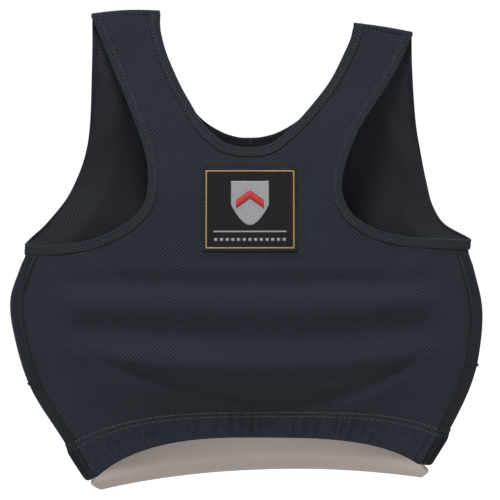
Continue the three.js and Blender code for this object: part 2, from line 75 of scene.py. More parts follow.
def smooth_step(low, high, value):
    """3t^2 - 2t^3, where t runs from 0 at low to 1 at high."""
    t = np.clip((value - low) / (high - low), 0, 1)
    return t * t * (3 - 2 * t)


def lerp(low, high, share):
    """A straight line from low, at a share of 0, to high, at a share of 1."""
    return low + (high - low) * share


def through(pairs, at):
    """Smooth curve through (at, value) pairs: the cubic Hermite h00 y0 + h10 m0 + h01 y1 + h11 m1
    between neighbours, where each pair's slope m is that of the line past it."""
    xs, ys = np.array(pairs, float).T
    last = len(xs) - 1
    before = np.maximum(np.arange(last + 1) - 1, 0)
    after = np.minimum(np.arange(last + 1) + 1, last)
    slopes = (ys[after] - ys[before]) / (xs[after] - xs[before])
    i = np.clip(np.searchsorted(xs, at, side="left") - 1, 0, last - 1)
    run = xs[i + 1] - xs[i]
    t = np.clip((at - xs[i]) / run, 0, 1)
    return (
        (2 * t**3 - 3 * t**2 + 1) * ys[i] + (t**3 - 2 * t**2 + t) * run * slopes[i]
        + (3 * t**2 - 2 * t**3) * ys[i + 1] + (t**3 - t**2) * run * slopes[i + 1]
    )


def spline(points, share):
    """Uniform Catmull-Rom spline through the points, for shares from 0 to 1 along them: each span
    is the cubic with end slopes (next - previous) / 2."""
    knots = np.array(points, float)
    last = len(knots) - 1
    at = np.asarray(share, float) * last
    i = np.clip(np.floor(at).astype(int), 0, last - 1)
    t = (at - i)[..., None]
    here, there = knots[i], knots[i + 1]
    lead = (there - knots[np.maximum(i - 1, 0)]) / 2
    trail = (knots[np.minimum(i + 2, last)] - here) / 2
    cubic = 2 * here - 2 * there + lead + trail
    square = 3 * there - 3 * here - 2 * lead - trail
    return cubic * t**3 + square * t**2 + lead * t + here


def normals_of(points):
    """Unit normals of a grid of points (rows, columns, xyz): the cross product of its two steps."""
    normal = np.cross(np.gradient(points, axis=1), np.gradient(points, axis=0))
    return normal / np.maximum(np.linalg.norm(normal, axis=-1, keepdims=True), 1e-9)


def piece_from(name, grids, maps=None, closed=False):
    """Object from grids of points in millimetres (rows, columns, xyz). Neighbours in a grid make
    a quad, equal points are welded, and maps gives each point its place on the cloth in metres.
    A closed grid's last row joins its first."""
    points, quads, start = [], [], 0
    for grid in grids:
        rows, columns = grid.shape[:2]
        index = np.arange(rows * columns).reshape(rows, columns) + start
        if closed:
            index = np.vstack([index, index[:1]])
        corners = [index[:-1, :-1], index[:-1, 1:], index[1:, 1:], index[1:, :-1]]
        quads.append(np.stack(corners, -1).reshape(-1, 4))
        points.append(grid.reshape(-1, 3))
        start += rows * columns
    points, quads = np.vstack(points), np.vstack(quads)
    _, first, welded = np.unique(
        np.round(points, 3), axis=0, return_index=True, return_inverse=True
    )
    welded = welded.reshape(-1)
    mesh = bpy.data.meshes.new(name)
    mesh.from_pydata((points[first] * MM).tolist(), [], welded[quads].tolist())
    if maps is not None:
        cloth = np.vstack([m.reshape(-1, 2) for m in maps])
        mesh.uv_layers.new(name="UVMap").data.foreach_set("uv", cloth[quads.reshape(-1)].ravel())
    mesh.polygons.foreach_set("use_smooth", [True] * len(mesh.polygons))
    piece = bpy.data.objects.new(name, mesh)
    bpy.context.scene.collection.objects.link(piece)
    return piece


def both_halves(half):
    """Grids of the two halves of the body from a function of side. Their columns run from the
    centre line out, and the right half's are turned round so that both face the same way."""
    return [half(LEFT), half(RIGHT)[:, ::-1]]


def give_thickness(piece, thickness):
    """Thickens a sheet by half of the thickness, in millimetres, on each of its faces."""
    solid = piece.modifiers.new("thickness", "SOLIDIFY")
    solid.thickness = thickness * MM
    solid.offset = 0.0


def cup_depth(x, z, ease=0.0):
    """How far the cups stand out: D (1 - a^2 - b^2)^2, with a and b the shares of their radii."""
    a = (np.abs(x) - CUP_CENTRE_X) / (CUP_RADIUS_X + ease)
    b = (z - CUP_CENTRE_Z) / (CUP_RADIUS_Z + ease)
    return CUP_DEPTH * np.maximum(1 - a**2 - b**2, 0) ** 2


def guard_half(side):
    """Half an ellipse round the chest with the cups on it, y = -D sqrt(1 - (x/flank)^2) - cup,
    over a plan whose rows start on the centre line and then on the top edge and end on the side
    outline. It is then turned about Y and shifted."""
    up = np.linspace(0, 1, GUARD_GRID[0])[:, None]
    share = np.linspace(0, 1, GUARD_GRID[1])[None, :]
    centre_z = lerp(*GUARD_CENTRE_Z, up / GUARD_CENTRE_SHARE)
    centre = np.stack([0 * up, centre_z], -1)
    along_top = np.maximum(up - GUARD_CENTRE_SHARE, 0) / (1 - GUARD_CENTRE_SHARE)
    inner = np.where(up[..., None] <= GUARD_CENTRE_SHARE, centre, spline(GUARD_TOP, along_top))
    outer = spline(GUARD_SIDE, up)
    plan = lerp(inner, outer, share[..., None])
    x = plan[..., 0]
    arch = GUARD_ARCH * 4 * share * (1 - share)
    z = plan[..., 1] + arch * np.maximum(1 - 3 * up, 0) ** 2
    reach = np.minimum(x / through(GUARD_FLANK, z), 1)
    corner_x, corner_z = GUARD_SIDE[0]
    above_edge = z - lerp(GUARD_CENTRE_Z[0], corner_z, np.clip(x / corner_x, 0, 1) ** 2)
    flare = GUARD_FLARE * (1 - smooth_step(0.6, 1.25, above_edge / GUARD_FLARE_HEIGHT))
    y = -GUARD_DEPTH * np.sqrt(1 - reach**2) - cup_depth(x, z) - flare
    cosine, sine = math.cos(GUARD_TILT), math.sin(GUARD_TILT)
    x = x + GUARD_FOOT[side] * share**3 * (1 - smooth_step(*GUARD_FOOT_Z, z))
    turned_x = side * x * cosine + z * sine + GUARD_SHIFT_X
    turned_z = z * cosine - side * x * sine + GUARD_LIFT
    return np.stack([turned_x, y, turned_z], -1)


guard = piece_from("bust_guard", both_halves(guard_half))
give_thickness(guard, GUARD_THICKNESS)
guard_round = guard.modifiers.new("rounded edge", "BEVEL")
guard_round.width = GUARD_EDGE_RADIUS * MM
guard_round.segments = 3
guard_round.limit_method = "ANGLE"
guard_round.angle_limit = math.radians(50)


def plastic_material(name, colour, cloud):
    """Moulded polyethylene: cloudy colour, a fine moulded grain and a soft gloss."""
    material = bpy.data.materials.new(name)
    material.use_nodes = True
    nodes, links = material.node_tree.nodes, material.node_tree.links
    nodes.clear()

    place = nodes.new("ShaderNodeTexCoord")
    cloud_noise = nodes.new("ShaderNodeTexNoise")
    cloud_mix = nodes.new("ShaderNodeMix")
    grain_noise = nodes.new("ShaderNodeTexNoise")
    flow_noise = nodes.new("ShaderNodeTexNoise")
    flow_turn = nodes.new("ShaderNodeMapping")
    height = nodes.new("ShaderNodeMath")
    bump = nodes.new("ShaderNodeBump")
    gloss = nodes.new("ShaderNodeMapRange")
    surface = nodes.new("ShaderNodeBsdfPrincipled")
    output = nodes.new("ShaderNodeOutputMaterial")
    colour_frame = nodes.new("NodeFrame")
    grain_frame = nodes.new("NodeFrame")

    place.label, place.location = "place on the guard", (-1200, 0)
    cloud_noise.label, cloud_noise.location = "slow clouds in the plastic", (-900, 300)
    cloud_mix.label, cloud_mix.location = "clouded colour", (-500, 300)
    grain_noise.label, grain_noise.location = "fine grain of the mould", (-900, -100)
    flow_turn.label, flow_turn.location = "stretch along the flow", (-1000, -400)
    flow_noise.label, flow_noise.location = "flow lines", (-800, -400)
    height.label, height.location = "grain and flow together", (-500, -200)
    bump.label, bump.location = "surface relief", (-250, -200)
    gloss.label, gloss.location = "gloss varies with the clouds", (-250, 50)
    surface.label, surface.location = "polyethylene", (0, 200)
    output.label, output.location = "guard surface", (300, 200)
    colour_frame.label = "colour"
    grain_frame.label = "relief and gloss"
    for node in (cloud_noise, cloud_mix):
        node.parent = colour_frame
    for node in (grain_noise, flow_turn, flow_noise, height, bump, gloss):
        node.parent = grain_frame

    cloud_noise.inputs["Scale"].default_value = 16
    cloud_noise.inputs["Detail"].default_value = 5
    cloud_mix.data_type = "RGBA"
    cloud_mix.inputs["A"].default_value = (*colour, 1)
    cloud_mix.inputs["B"].default_value = (*cloud, 1)
    grain_noise.inputs["Scale"].default_value = 900
    grain_noise.inputs["Detail"].default_value = 3
    flow_turn.inputs["Scale"].default_value = (20, 20, 260)
    flow_noise.inputs["Scale"].default_value = 1
    height.operation = "ADD"
    bump.inputs["Distance"].default_value = 0.00035
    bump.inputs["Strength"].default_value = 0.35
    gloss.inputs["To Min"].default_value = 0.42
    gloss.inputs["To Max"].default_value = 0.6
    surface.inputs["IOR"].default_value = 1.5

    links.new(place.outputs["Object"], cloud_noise.inputs["Vector"])
    links.new(place.outputs["Object"], grain_noise.inputs["Vector"])
    links.new(place.outputs["Object"], flow_turn.inputs["Vector"])
    links.new(flow_turn.outputs["Vector"], flow_noise.inputs["Vector"])
    links.new(cloud_noise.outputs["Fac"], cloud_mix.inputs["Factor"])
    links.new(cloud_noise.outputs["Fac"], gloss.inputs["Value"])
    links.new(grain_noise.outputs["Fac"], height.inputs[0])
    links.new(flow_noise.outputs["Fac"], height.inputs[1])
    links.new(height.outputs["Value"], bump.inputs["Height"])
    links.new(cloud_mix.outputs["Result"], surface.inputs["Base Color"])
    links.new(gloss.outputs["Result"], surface.inputs["Roughness"])
    links.new(bump.outputs["Normal"], surface.inputs["Normal"])
    links.new(surface.outputs["BSDF"], output.inputs["Surface"])
    return material


guard.data.materials.append(plastic_material("guard plastic", PLASTIC_GREY, PLASTIC_CLOUD))
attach(guard, "guard")
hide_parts("guard_shell")

# ---------------------------------------------------------------------------------------------
# The pocket lining: open mesh knit right across the hollow of the guard, sewn in with the
# bindings of the neck and the armholes and with the side seams. Its lower edge is left free, so
# that the guard's pocket is open along the hem.
# ---------------------------------------------------------------------------------------------
FRONT_DEPTH, BACK_DEPTH = 52.0, 12.0
STRAP_HALF_GAP = 3.1
CHEST_TOP_Z, SHOULDER_Z = 230.0, 364.0
CUP_EASE = 3.0
SEAM_SETBACK = 10.0
SEAM_START = {LEFT: 195.0, RIGHT: 200.0}
FLANK = {
    LEFT: [
        (-20, 113), (11, 127.5), (43, 148), (82, 173), (120, 186), (152, 190.5), (178, 183),
        (190, 178.5), (203, 180), (400, 180),
    ],
    RIGHT: [
        (-20, 118), (22, 140.5), (50, 157.5), (82, 173.5), (107, 181), (145, 184.5), (178, 178),
        (192, 174), (206, 177), (400, 178),
    ],
}
FRONT_NECK = {
    LEFT: [
        (0, 288), (3.2, 288.5), (7.2, 292), (12.2, 301), (16.8, 316), (20.4, 336), (23, 356),
        (23.9, 374), (23.9, 385),
    ],
    RIGHT: [
        (0, 288), (3.2, 288.5), (7.4, 292), (12.8, 301), (18.8, 316), (23.4, 336), (26, 354),
        (27.4, 365), (28.2, 375),
    ],
}
FRONT_ARMHOLE = {
    LEFT: [
        (98, 196), (84, 200), (74, 207.5), (67, 216), (58.8, 232), (53.7, 248), (49, 272),
        (46.6, 300), (45.3, 348), (45.3, 382.5),
    ],
    RIGHT: [
        (98, 200.5), (84, 203), (72, 208.5), (63, 217), (57.7, 232), (55, 250), (52.2, 274),
        (49.6, 300), (47.7, 340), (47.4, 367.5),
    ],
}
NECK_SHARE, ARMHOLE_SHARE = 0.7, 0.4
CHEST_LINE_Z, CHEST_LINE_EASE = 178.0, 2.2
CLOTH_EDGE = 1.0
LINING_THICKNESS = 0.8
LINING_DEPTH = -10.0
LINING_WIDTH = {LEFT: -18.0, RIGHT: -13.0}
LINING_HEM = {"centre": 40.0, LEFT: 26.0, RIGHT: 30.0}
LINING_GRID, LINING_PITCH = (72, 150), 0.0022
LINING_EDGE_DEPTH, LINING_FLANK_TOP_Z = -1.2, 190
STRAP_FOLD_DEPTH, STRAP_FOLD_WIDTH = {LEFT: 1.6, RIGHT: 4.6}, 3.2
STRAP_FOLD_ANGLES = (36.0, 54.0)
STRAP_RIPPLE, FRONT_SWAY = 0.6, 0.5
STRAP_CLOSENESS = 0.8
NECK_FADE, ARMHOLE_FADE = 0.35, 0.2
CHEST_RADIUS = 0.165
LINING_NAVY = (0.024, 0.027, 0.036)
# Painted shade in the holes of the lining's mesh.
LINING_HOLE_SHADE = (0.003, 0.0035, 0.006)


def flank(side, z):
    """Half width of the garment at a height: the smooth curve through the FLANK pairs."""
    return through(FLANK[side], z)


def shoulder_share(z):
    """0 at the chest, rising smoothly to 1 at the shoulder, where front and back meet."""
    return smooth_step(CHEST_TOP_Z, SHOULDER_Z, z)


def front_wrinkles(side, angle, z):
    """Slack of the front in millimetres: a fold that runs down from each strap along the armhole,
    deepest on the right, and a slow uneven sway. Each fold is a Gaussian across its own line."""
    fold_line = lerp(*STRAP_FOLD_ANGLES, smooth_step(340, 225, z))
    along = smooth_step(205, 245, z) * (1 - smooth_step(300, 345, z))
    across_fold = np.exp(-(((angle - fold_line) / STRAP_FOLD_WIDTH) ** 2))
    fold = STRAP_FOLD_DEPTH[side] * along * across_fold
    ripple = STRAP_RIPPLE * along * np.sin(side * angle * 0.55 + z * 0.035)
    sway = np.sin(side * angle * 0.09 + z * 0.045) * np.sin(z * 0.021 - side * angle * 0.05)
    return fold + ripple + FRONT_SWAY * sway * smooth_step(60, 100, z)


def front_point(side, angle, z, width=0.0, depth=0.0, cup_share=1.0, offset=0.0):
    """A point of the front at an angle round the body: x = W sin a, y = -(G + D cos a) - cup, and
    past the flank fold the back's superellipse, x = W sqrt(sin a), y = B sqrt(-cos a)."""
    fade = 1 - STRAP_CLOSENESS * shoulder_share(z)
    half_width = flank(side, z) + (width + offset) * fade
    sine, cosine = np.sin(np.radians(angle)), np.cos(np.radians(angle))
    past_fold = cosine < 0
    x = half_width * np.where(past_fold, np.sqrt(np.maximum(sine, 0)), sine)
    gap = STRAP_HALF_GAP * shoulder_share(z)
    front_depth = FRONT_DEPTH * (1 - shoulder_share(z)) + (depth + offset) * fade
    dx, dz = side * x - GUARD_SHIFT_X, z - GUARD_LIFT
    guard_x = dx * math.cos(GUARD_TILT) - dz * math.sin(GUARD_TILT)
    guard_z = dx * math.sin(GUARD_TILT) + dz * math.cos(GUARD_TILT)
    cup = cup_share * cup_depth(guard_x, guard_z, CUP_EASE)
    slack = front_wrinkles(side, angle, z) * np.maximum(cosine, 0)
    y_front = -gap - front_depth * np.maximum(cosine, 0) - cup + slack
    y_back = (BACK_DEPTH + depth + offset) * np.sqrt(np.maximum(-cosine, 0))
    return np.stack([side * x, np.where(past_fold, y_back, y_front), z + 0 * x], -1)


def angle_on_back(side, z, setback):
    """The angle of a line a given way in from the flank fold: 180 - asin(((W - setback) / W)^2)."""
    width = flank(side, z)
    return 180 - np.degrees(np.arcsin(((width - setback) / width) ** 2))


def angle_of(side, point):
    """The front's own parameters, angle and z, of a point near it."""
    share = np.minimum(np.abs(point[..., 0]) / flank(side, point[..., 2]), 1)
    past_fold = point[..., 1] > 0
    angle = np.degrees(np.where(past_fold, np.pi - np.arcsin(share**2), np.arcsin(share)))
    return angle, point[..., 2]


def edge_points(side, outline, turn, surface, share, distance=0.0, lift=0.0):
    """Points along a finished edge of a panel: P(t) + turn d (N x T) + l N, where P is the spline
    of the outline laid on the surface, T its direction, N the surface's normal, d the distance
    inside the edge and l the lift off the outer face. turn is 1 if the panel is on its left."""
    def lay(plan):
        return surface(side, plan[..., 0], plan[..., 1])

    step = 0.002
    plan = spline(outline, share)
    here = lay(plan)
    ahead = lay(spline(outline, np.minimum(share + step, 1)))
    behind = lay(spline(outline, np.maximum(share - step, 0)))
    along = ahead - behind
    along[share == 1] = (0, 0, 1)
    if outline[0][0] == 0:
        along[share == 0] = (side, 0, 0)
    along /= np.linalg.norm(along, axis=-1, keepdims=True)
    normal = np.cross(lay(plan + (0.5, 0)) - here, lay(plan + (0, 0.5)) - here)
    normal /= np.linalg.norm(normal, axis=-1, keepdims=True)
    return here + turn * distance * np.cross(normal, along) + side * lift * normal


def half_panel(side, columns, rows, neck, armhole, parameters, seam_across, bottom, surface):
    """Grid of one half of a panel. Its rows start on the centre line and then on the neck edge,
    and end on the side seam and then on the armhole edge. Returns across and z for each point."""
    share = np.linspace(0, 1, columns + 1)
    up = np.linspace(0, 1, rows + 1)
    neck_up = np.clip((up - NECK_SHARE) / (1 - NECK_SHARE), 0, 1)
    arm_up = np.clip((up - ARMHOLE_SHARE) / (1 - ARMHOLE_SHARE), 0, 1)
    low_up = np.clip(up / ARMHOLE_SHARE, 0, 1)
    mid_up = np.clip((up - ARMHOLE_SHARE) / (NECK_SHARE - ARMHOLE_SHARE), 0, 1)
    neck_across, neck_z = parameters(
        side, edge_points(side, neck[side], -1, surface, neck_up, CLOTH_EDGE)
    )
    arm_across, arm_z = parameters(
        side, edge_points(side, armhole[side], 1, surface, arm_up, CLOTH_EDGE)
    )
    on_neck, on_arm = up >= NECK_SHARE, up >= ARMHOLE_SHARE
    at_centre = neck_up < 1e-6
    neck_across[at_centre] = 0
    neck_z[at_centre] = neck[side][0][1] - CLOTH_EDGE
    centre_z = np.where(
        on_arm,
        lerp(CHEST_LINE_Z, neck_z[0], mid_up**CHEST_LINE_EASE),
        lerp(bottom(side, 0.0), CHEST_LINE_Z, low_up),
    )
    start_across = np.where(on_neck, neck_across, 0.0)
    start_z = np.where(on_neck, neck_z, centre_z)
    seam_z = lerp(bottom(side, 1.0), arm_z[0], low_up)
    end_z = np.where(on_arm, arm_z, seam_z)
    end_across = np.where(
        on_arm, np.minimum(arm_across, seam_across(side, arm_z)), seam_across(side, seam_z)
    )
    bend = bottom(side, share) - lerp(bottom(side, 0.0), bottom(side, 1.0), share)
    fade = np.maximum(1 - up / ARMHOLE_SHARE, 0) ** 2
    z = lerp(start_z[:, None], end_z[:, None], share) + bend * fade[:, None]
    across = lerp(start_across[:, None], end_across[:, None], share)
    return across, z


def lining_bottom(side, share):
    """Height of the lining's free edge: a quarter cosine from its centre to its side."""
    return lerp(LINING_HEM[side], LINING_HEM["centre"], np.cos(np.radians(90 * share)))


def front_seam_angle(side, z):
    """Angle of the side seam, a setback in from the flank fold."""
    return angle_on_back(side, z, SEAM_SETBACK)


def near_edges(rows, columns):
    """0 along the neck and armhole edges of a panel's grid, rising to 1 well inside it."""
    up = np.linspace(0, 1, rows + 1)[:, None]
    share = np.linspace(0, 1, columns + 1)[None, :]
    from_neck = share + 6 * np.maximum(NECK_SHARE - up, 0)
    from_arm = 1 - share + 6 * np.maximum(ARMHOLE_SHARE - up, 0)
    return smooth_step(0, NECK_FADE, from_neck) * smooth_step(0, ARMHOLE_FADE, from_arm)


def cloth_place(side, angle, z):
    """Place on the cloth, in metres: the way round from the centre line, and the height."""
    return np.stack([side * np.radians(angle) * CHEST_RADIUS, z * MM + 0 * angle], -1)


def lining_plan(side):
    """Angle and z of each point of half the lining, cut to the front's neck and armhole."""
    return half_panel(
        side, *LINING_GRID, FRONT_NECK, FRONT_ARMHOLE, angle_of, front_seam_angle, lining_bottom,
        front_point,
    )


def lining_half(side):
    """The front's surface without its cups, drawn in towards the body away from its edges."""
    angle, z = lining_plan(side)
    inside = near_edges(*LINING_GRID[::-1])
    width = LINING_WIDTH[side] * np.where(z < LINING_FLANK_TOP_Z, 1, inside)
    depth = lerp(LINING_EDGE_DEPTH, LINING_DEPTH, inside)
    return front_point(side, angle, z, width, depth, cup_share=0.0)


lining = piece_from(
    "mesh_lining", both_halves(lining_half),
    both_halves(lambda side: cloth_place(side, *lining_plan(side))),
)
give_thickness(lining, LINING_THICKNESS)


def knit_material(name, colour, hollow, pitch, hole=0.35, relief=0.0004, sheen=0.12, rough=0.82):
    """Stretch knit in staggered rows of stitches. A cosine wave across times one along, both a
    pitch long, peaks in the hollow of every stitch, which is wider as hole rises. There the
    relief sinks and the colour turns to hollow, a painted shade for the dark of the hollows. Over
    it lie a slow fading of the dye and a fine fuzz of fibre."""
    material = bpy.data.materials.new(name)
    material.use_nodes = True
    nodes, links = material.node_tree.nodes, material.node_tree.links
    nodes.clear()

    place = nodes.new("ShaderNodeTexCoord")
    waver = nodes.new("ShaderNodeTexNoise")
    waver_size = nodes.new("ShaderNodeVectorMath")
    wavered = nodes.new("ShaderNodeVectorMath")
    split = nodes.new("ShaderNodeSeparateXYZ")
    across_turn = nodes.new("ShaderNodeMath")
    up_turn = nodes.new("ShaderNodeMath")
    across_wave = nodes.new("ShaderNodeMath")
    up_wave = nodes.new("ShaderNodeMath")
    wave_sum = nodes.new("ShaderNodeMath")
    # Mask of the stitch hollows: it sinks the relief there and paints shade there.
    stitch_hollow_and_shade_mask = nodes.new("ShaderNodeMapRange")
    dye_noise = nodes.new("ShaderNodeTexNoise")
    dye_mix = nodes.new("ShaderNodeMix")
    fuzz_noise = nodes.new("ShaderNodeTexNoise")
    fuzz_range = nodes.new("ShaderNodeMapRange")
    fuzz_mix = nodes.new("ShaderNodeMix")
    yarn_and_painted_hollow_shade = nodes.new("ShaderNodeMix")
    thread_height = nodes.new("ShaderNodeMath")
    bump = nodes.new("ShaderNodeBump")
    surface = nodes.new("ShaderNodeBsdfPrincipled")
    output = nodes.new("ShaderNodeOutputMaterial")
    stitch_frame = nodes.new("NodeFrame")
    colour_frame = nodes.new("NodeFrame")
    relief_frame = nodes.new("NodeFrame")

    place.label, place.location = "place on the cloth", (-1900, 0)
    waver.label, waver.location = "uneven tension of the knit", (-1700, -250)
    waver_size.label, waver_size.location = "less than one stitch", (-1500, -250)
    wavered.label, wavered.location = "cloth pulled unevenly", (-1300, 0)
    split.label, split.location = "across and along", (-1100, 0)
    across_turn.label, across_turn.location = "columns of stitches", (-900, 100)
    up_turn.label, up_turn.location = "rows of stitches", (-900, -100)
    across_wave.label, across_wave.location = "wave across", (-700, 100)
    up_wave.label, up_wave.location = "wave along", (-700, -100)
    wave_sum.label, wave_sum.location = "staggered stitches", (-500, 0)
    stitch_hollow_and_shade_mask.label, stitch_hollow_and_shade_mask.location = "stitch hollow, relief and painted shade", (-300, 0)
    dye_noise.label, dye_noise.location = "slow fading of the dye", (-900, 500)
    dye_mix.label, dye_mix.location = "dyed yarn", (-500, 500)
    fuzz_noise.label, fuzz_noise.location = "fibre fuzz", (-900, 300)
    fuzz_range.label, fuzz_range.location = "light and dark fibres", (-700, 300)
    fuzz_mix.label, fuzz_mix.location = "fuzzy yarn", (-300, 400)
    yarn_and_painted_hollow_shade.label, yarn_and_painted_hollow_shade.location = "yarn and painted hollow shade", (-100, 300)
    thread_height.label, thread_height.location = "yarn stands, hollows sink", (-300, -300)
    bump.label, bump.location = "relief of the stitches", (-100, -300)
    surface.label, surface.location = "knit", (150, 200)
    output.label, output.location = "cloth surface", (450, 200)
    stitch_frame.label = "grid of stitches"
    colour_frame.label = "colour of the yarn"
    relief_frame.label = "relief"
    for node in (waver, waver_size, wavered, split, across_turn, up_turn, across_wave, up_wave,
                 wave_sum, stitch_hollow_and_shade_mask):
        node.parent = stitch_frame
    for node in (dye_noise, dye_mix, fuzz_noise, fuzz_range, fuzz_mix, yarn_and_painted_hollow_shade):
        node.parent = colour_frame
    for node in (thread_height, bump):
        node.parent = relief_frame

    waver.inputs["Scale"].default_value = 45
    waver_size.operation = "SCALE"
    waver_size.inputs["Scale"].default_value = pitch * 0.9
    wavered.operation = "ADD"
    across_turn.operation = "MULTIPLY"
    across_turn.inputs[1].default_value = 2 * math.pi / pitch
    up_turn.operation = "MULTIPLY"
    up_turn.inputs[1].default_value = 2 * math.pi / pitch
    across_wave.operation = "COSINE"
    up_wave.operation = "COSINE"
    wave_sum.operation = "MULTIPLY"
    stitch_hollow_and_shade_mask.interpolation_type = "SMOOTHSTEP"
    stitch_hollow_and_shade_mask.inputs["From Min"].default_value = -0.15
    stitch_hollow_and_shade_mask.inputs["From Max"].default_value = 1.35 - hole
    dye_noise.inputs["Scale"].default_value = 22
    dye_noise.inputs["Detail"].default_value = 4
    dye_mix.data_type = "RGBA"
    dye_mix.inputs["A"].default_value = (*[c * 0.82 for c in colour], 1)
    dye_mix.inputs["B"].default_value = (*[c * 1.18 for c in colour], 1)
    fuzz_noise.inputs["Scale"].default_value = 1500
    fuzz_noise.inputs["Detail"].default_value = 2
    fuzz_range.inputs["To Min"].default_value = 0.7
    fuzz_range.inputs["To Max"].default_value = 1.35
    fuzz_mix.data_type = "RGBA"
    fuzz_mix.blend_type = "MULTIPLY"
    fuzz_mix.inputs["Factor"].default_value = 1
    yarn_and_painted_hollow_shade.data_type = "RGBA"
    # Painted shade: the stitch hollows take the darker hollow colour.
    yarn_and_painted_hollow_shade.inputs["B"].default_value = (*hollow, 1)
    thread_height.operation = "MULTIPLY_ADD"
    thread_height.inputs[1].default_value = -0.8
    bump.inputs["Distance"].default_value = relief
    bump.inputs["Strength"].default_value = 0.8
    surface.inputs["Roughness"].default_value = rough
    surface.inputs["Specular IOR Level"].default_value = 0.25
    surface.inputs["Sheen Weight"].default_value = sheen
    surface.inputs["Sheen Roughness"].default_value = 0.45
    surface.inputs["Sheen Tint"].default_value = (0.62, 0.70, 0.95, 1)

    links.new(place.outputs["UV"], waver.inputs["Vector"])
    links.new(waver.outputs["Color"], waver_size.inputs[0])
    links.new(place.outputs["UV"], wavered.inputs[0])
    links.new(waver_size.outputs["Vector"], wavered.inputs[1])
    links.new(wavered.outputs["Vector"], split.inputs["Vector"])
    links.new(split.outputs["X"], across_turn.inputs[0])
    links.new(split.outputs["Y"], up_turn.inputs[0])
    links.new(across_turn.outputs["Value"], across_wave.inputs[0])
    links.new(up_turn.outputs["Value"], up_wave.inputs[0])
    links.new(across_wave.outputs["Value"], wave_sum.inputs[0])
    links.new(up_wave.outputs["Value"], wave_sum.inputs[1])
    links.new(wave_sum.outputs["Value"], stitch_hollow_and_shade_mask.inputs["Value"])
    links.new(place.outputs["Object"], dye_noise.inputs["Vector"])
    links.new(place.outputs["Object"], fuzz_noise.inputs["Vector"])
    links.new(dye_noise.outputs["Fac"], dye_mix.inputs["Factor"])
    links.new(fuzz_noise.outputs["Fac"], fuzz_range.inputs["Value"])
    links.new(dye_mix.outputs["Result"], fuzz_mix.inputs["A"])
    links.new(fuzz_range.outputs["Result"], fuzz_mix.inputs["B"])
    links.new(fuzz_mix.outputs["Result"], yarn_and_painted_hollow_shade.inputs["A"])
    links.new(stitch_hollow_and_shade_mask.outputs["Result"], yarn_and_painted_hollow_shade.inputs["Factor"])
    links.new(stitch_hollow_and_shade_mask.outputs["Result"], thread_height.inputs[0])
    links.new(fuzz_noise.outputs["Fac"], thread_height.inputs[2])
    links.new(thread_height.outputs["Value"], bump.inputs["Height"])
    links.new(yarn_and_painted_hollow_shade.outputs["Result"], surface.inputs["Base Color"])
    links.new(bump.outputs["Normal"], surface.inputs["Normal"])
    links.new(surface.outputs["BSDF"], output.inputs["Surface"])
    return material


lining.data.materials.append(
    knit_material("lining mesh", LINING_NAVY, LINING_HOLE_SHADE, LINING_PITCH)
)
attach(lining, "garment")
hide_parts("pocket_lining")

# ---------------------------------------------------------------------------------------------
# The front: two panels of smooth stretch knit with a soft sheen, the upper one over the cups and
# the lower one down to the hem band. They wrap round the flanks on to the back as far as the side
# seams, and an overlocked seam under the bust joins them.
# ---------------------------------------------------------------------------------------------
FABRIC_THICKNESS = 1.0
BAND_HEIGHT = 28.0
HEM_CENTRE_Z = 43.0
HEM_DROP = {LEFT: 28.5, RIGHT: 19.0}
HEM_POWER = {LEFT: 2.5, RIGHT: 3.4}
FRONT_HEM_RISE = -8.0
HEM_POINT = {LEFT: 4.0, RIGHT: 1.5}
UNDERBUST_Z = {LEFT: 86.0, RIGHT: 101.0}
UNDERBUST_DIP = 22.0
BAND_OVERLAP = 3.0
FRONT_GRID, FRONT_LOWER_ROWS = (96, 160), 31
SMOOTH_PITCH = 0.0008
SMOOTH_NAVY = (0.0150, 0.0178, 0.0265)
# Painted shade in the hollows between the loops of the smooth knit.
SMOOTH_HOLLOW_SHADE = (0.009, 0.010, 0.014)


def hem_corner(side):
    """Where the hem crosses the side seam: x, z and angle."""
    z = HEM_CENTRE_Z - HEM_DROP[side]
    return flank(side, z) - SEAM_SETBACK, z, angle_on_back(side, z, SEAM_SETBACK)


def forward_share(angle):
    """How far an angle faces forward: its cosine, and 0 past the flank fold."""
    return np.maximum(np.cos(np.radians(angle)), 0)


def front_hem_z(side, angle):
    """Height of the front's hem: it drops to a point on the flank fold, at 90 degrees, where the
    share of the half width is 1, and rises again towards the centre."""
    _, corner_z, corner_angle = hem_corner(side)
    sine = np.maximum(np.sin(np.radians(angle)), 0)
    share = np.where(angle > 90, np.sqrt(sine), sine)
    start = math.sqrt(math.sin(math.radians(corner_angle)))
    point = HEM_POINT[side] * np.clip((share - start) / (1 - start), 0, 1)
    return lerp(corner_z, HEM_CENTRE_Z + FRONT_HEM_RISE, forward_share(angle)) - point


def underbust_z(side, angle):
    """Height of the underbust seam: it dips from the side to the centre with the cosine."""
    centre = (UNDERBUST_Z[LEFT] + UNDERBUST_Z[RIGHT]) / 2 - UNDERBUST_DIP
    return lerp(UNDERBUST_Z[side], centre, forward_share(angle))


def underbust_bottom(side, share):
    """The upper panel's lower edge, which is the underbust seam."""
    return underbust_z(side, share * angle_on_back(side, UNDERBUST_Z[side], SEAM_SETBACK))


def front_plan(side):
    """Angle and z of each point of half the upper panel."""
    return half_panel(
        side, *FRONT_GRID, FRONT_NECK, FRONT_ARMHOLE, angle_of, front_seam_angle, underbust_bottom,
        front_point,
    )


front_upper = piece_from(
    "front_upper_knit",
    both_halves(lambda side: front_point(side, *front_plan(side))),
    both_halves(lambda side: cloth_place(side, *front_plan(side))),
)
give_thickness(front_upper, FABRIC_THICKNESS)


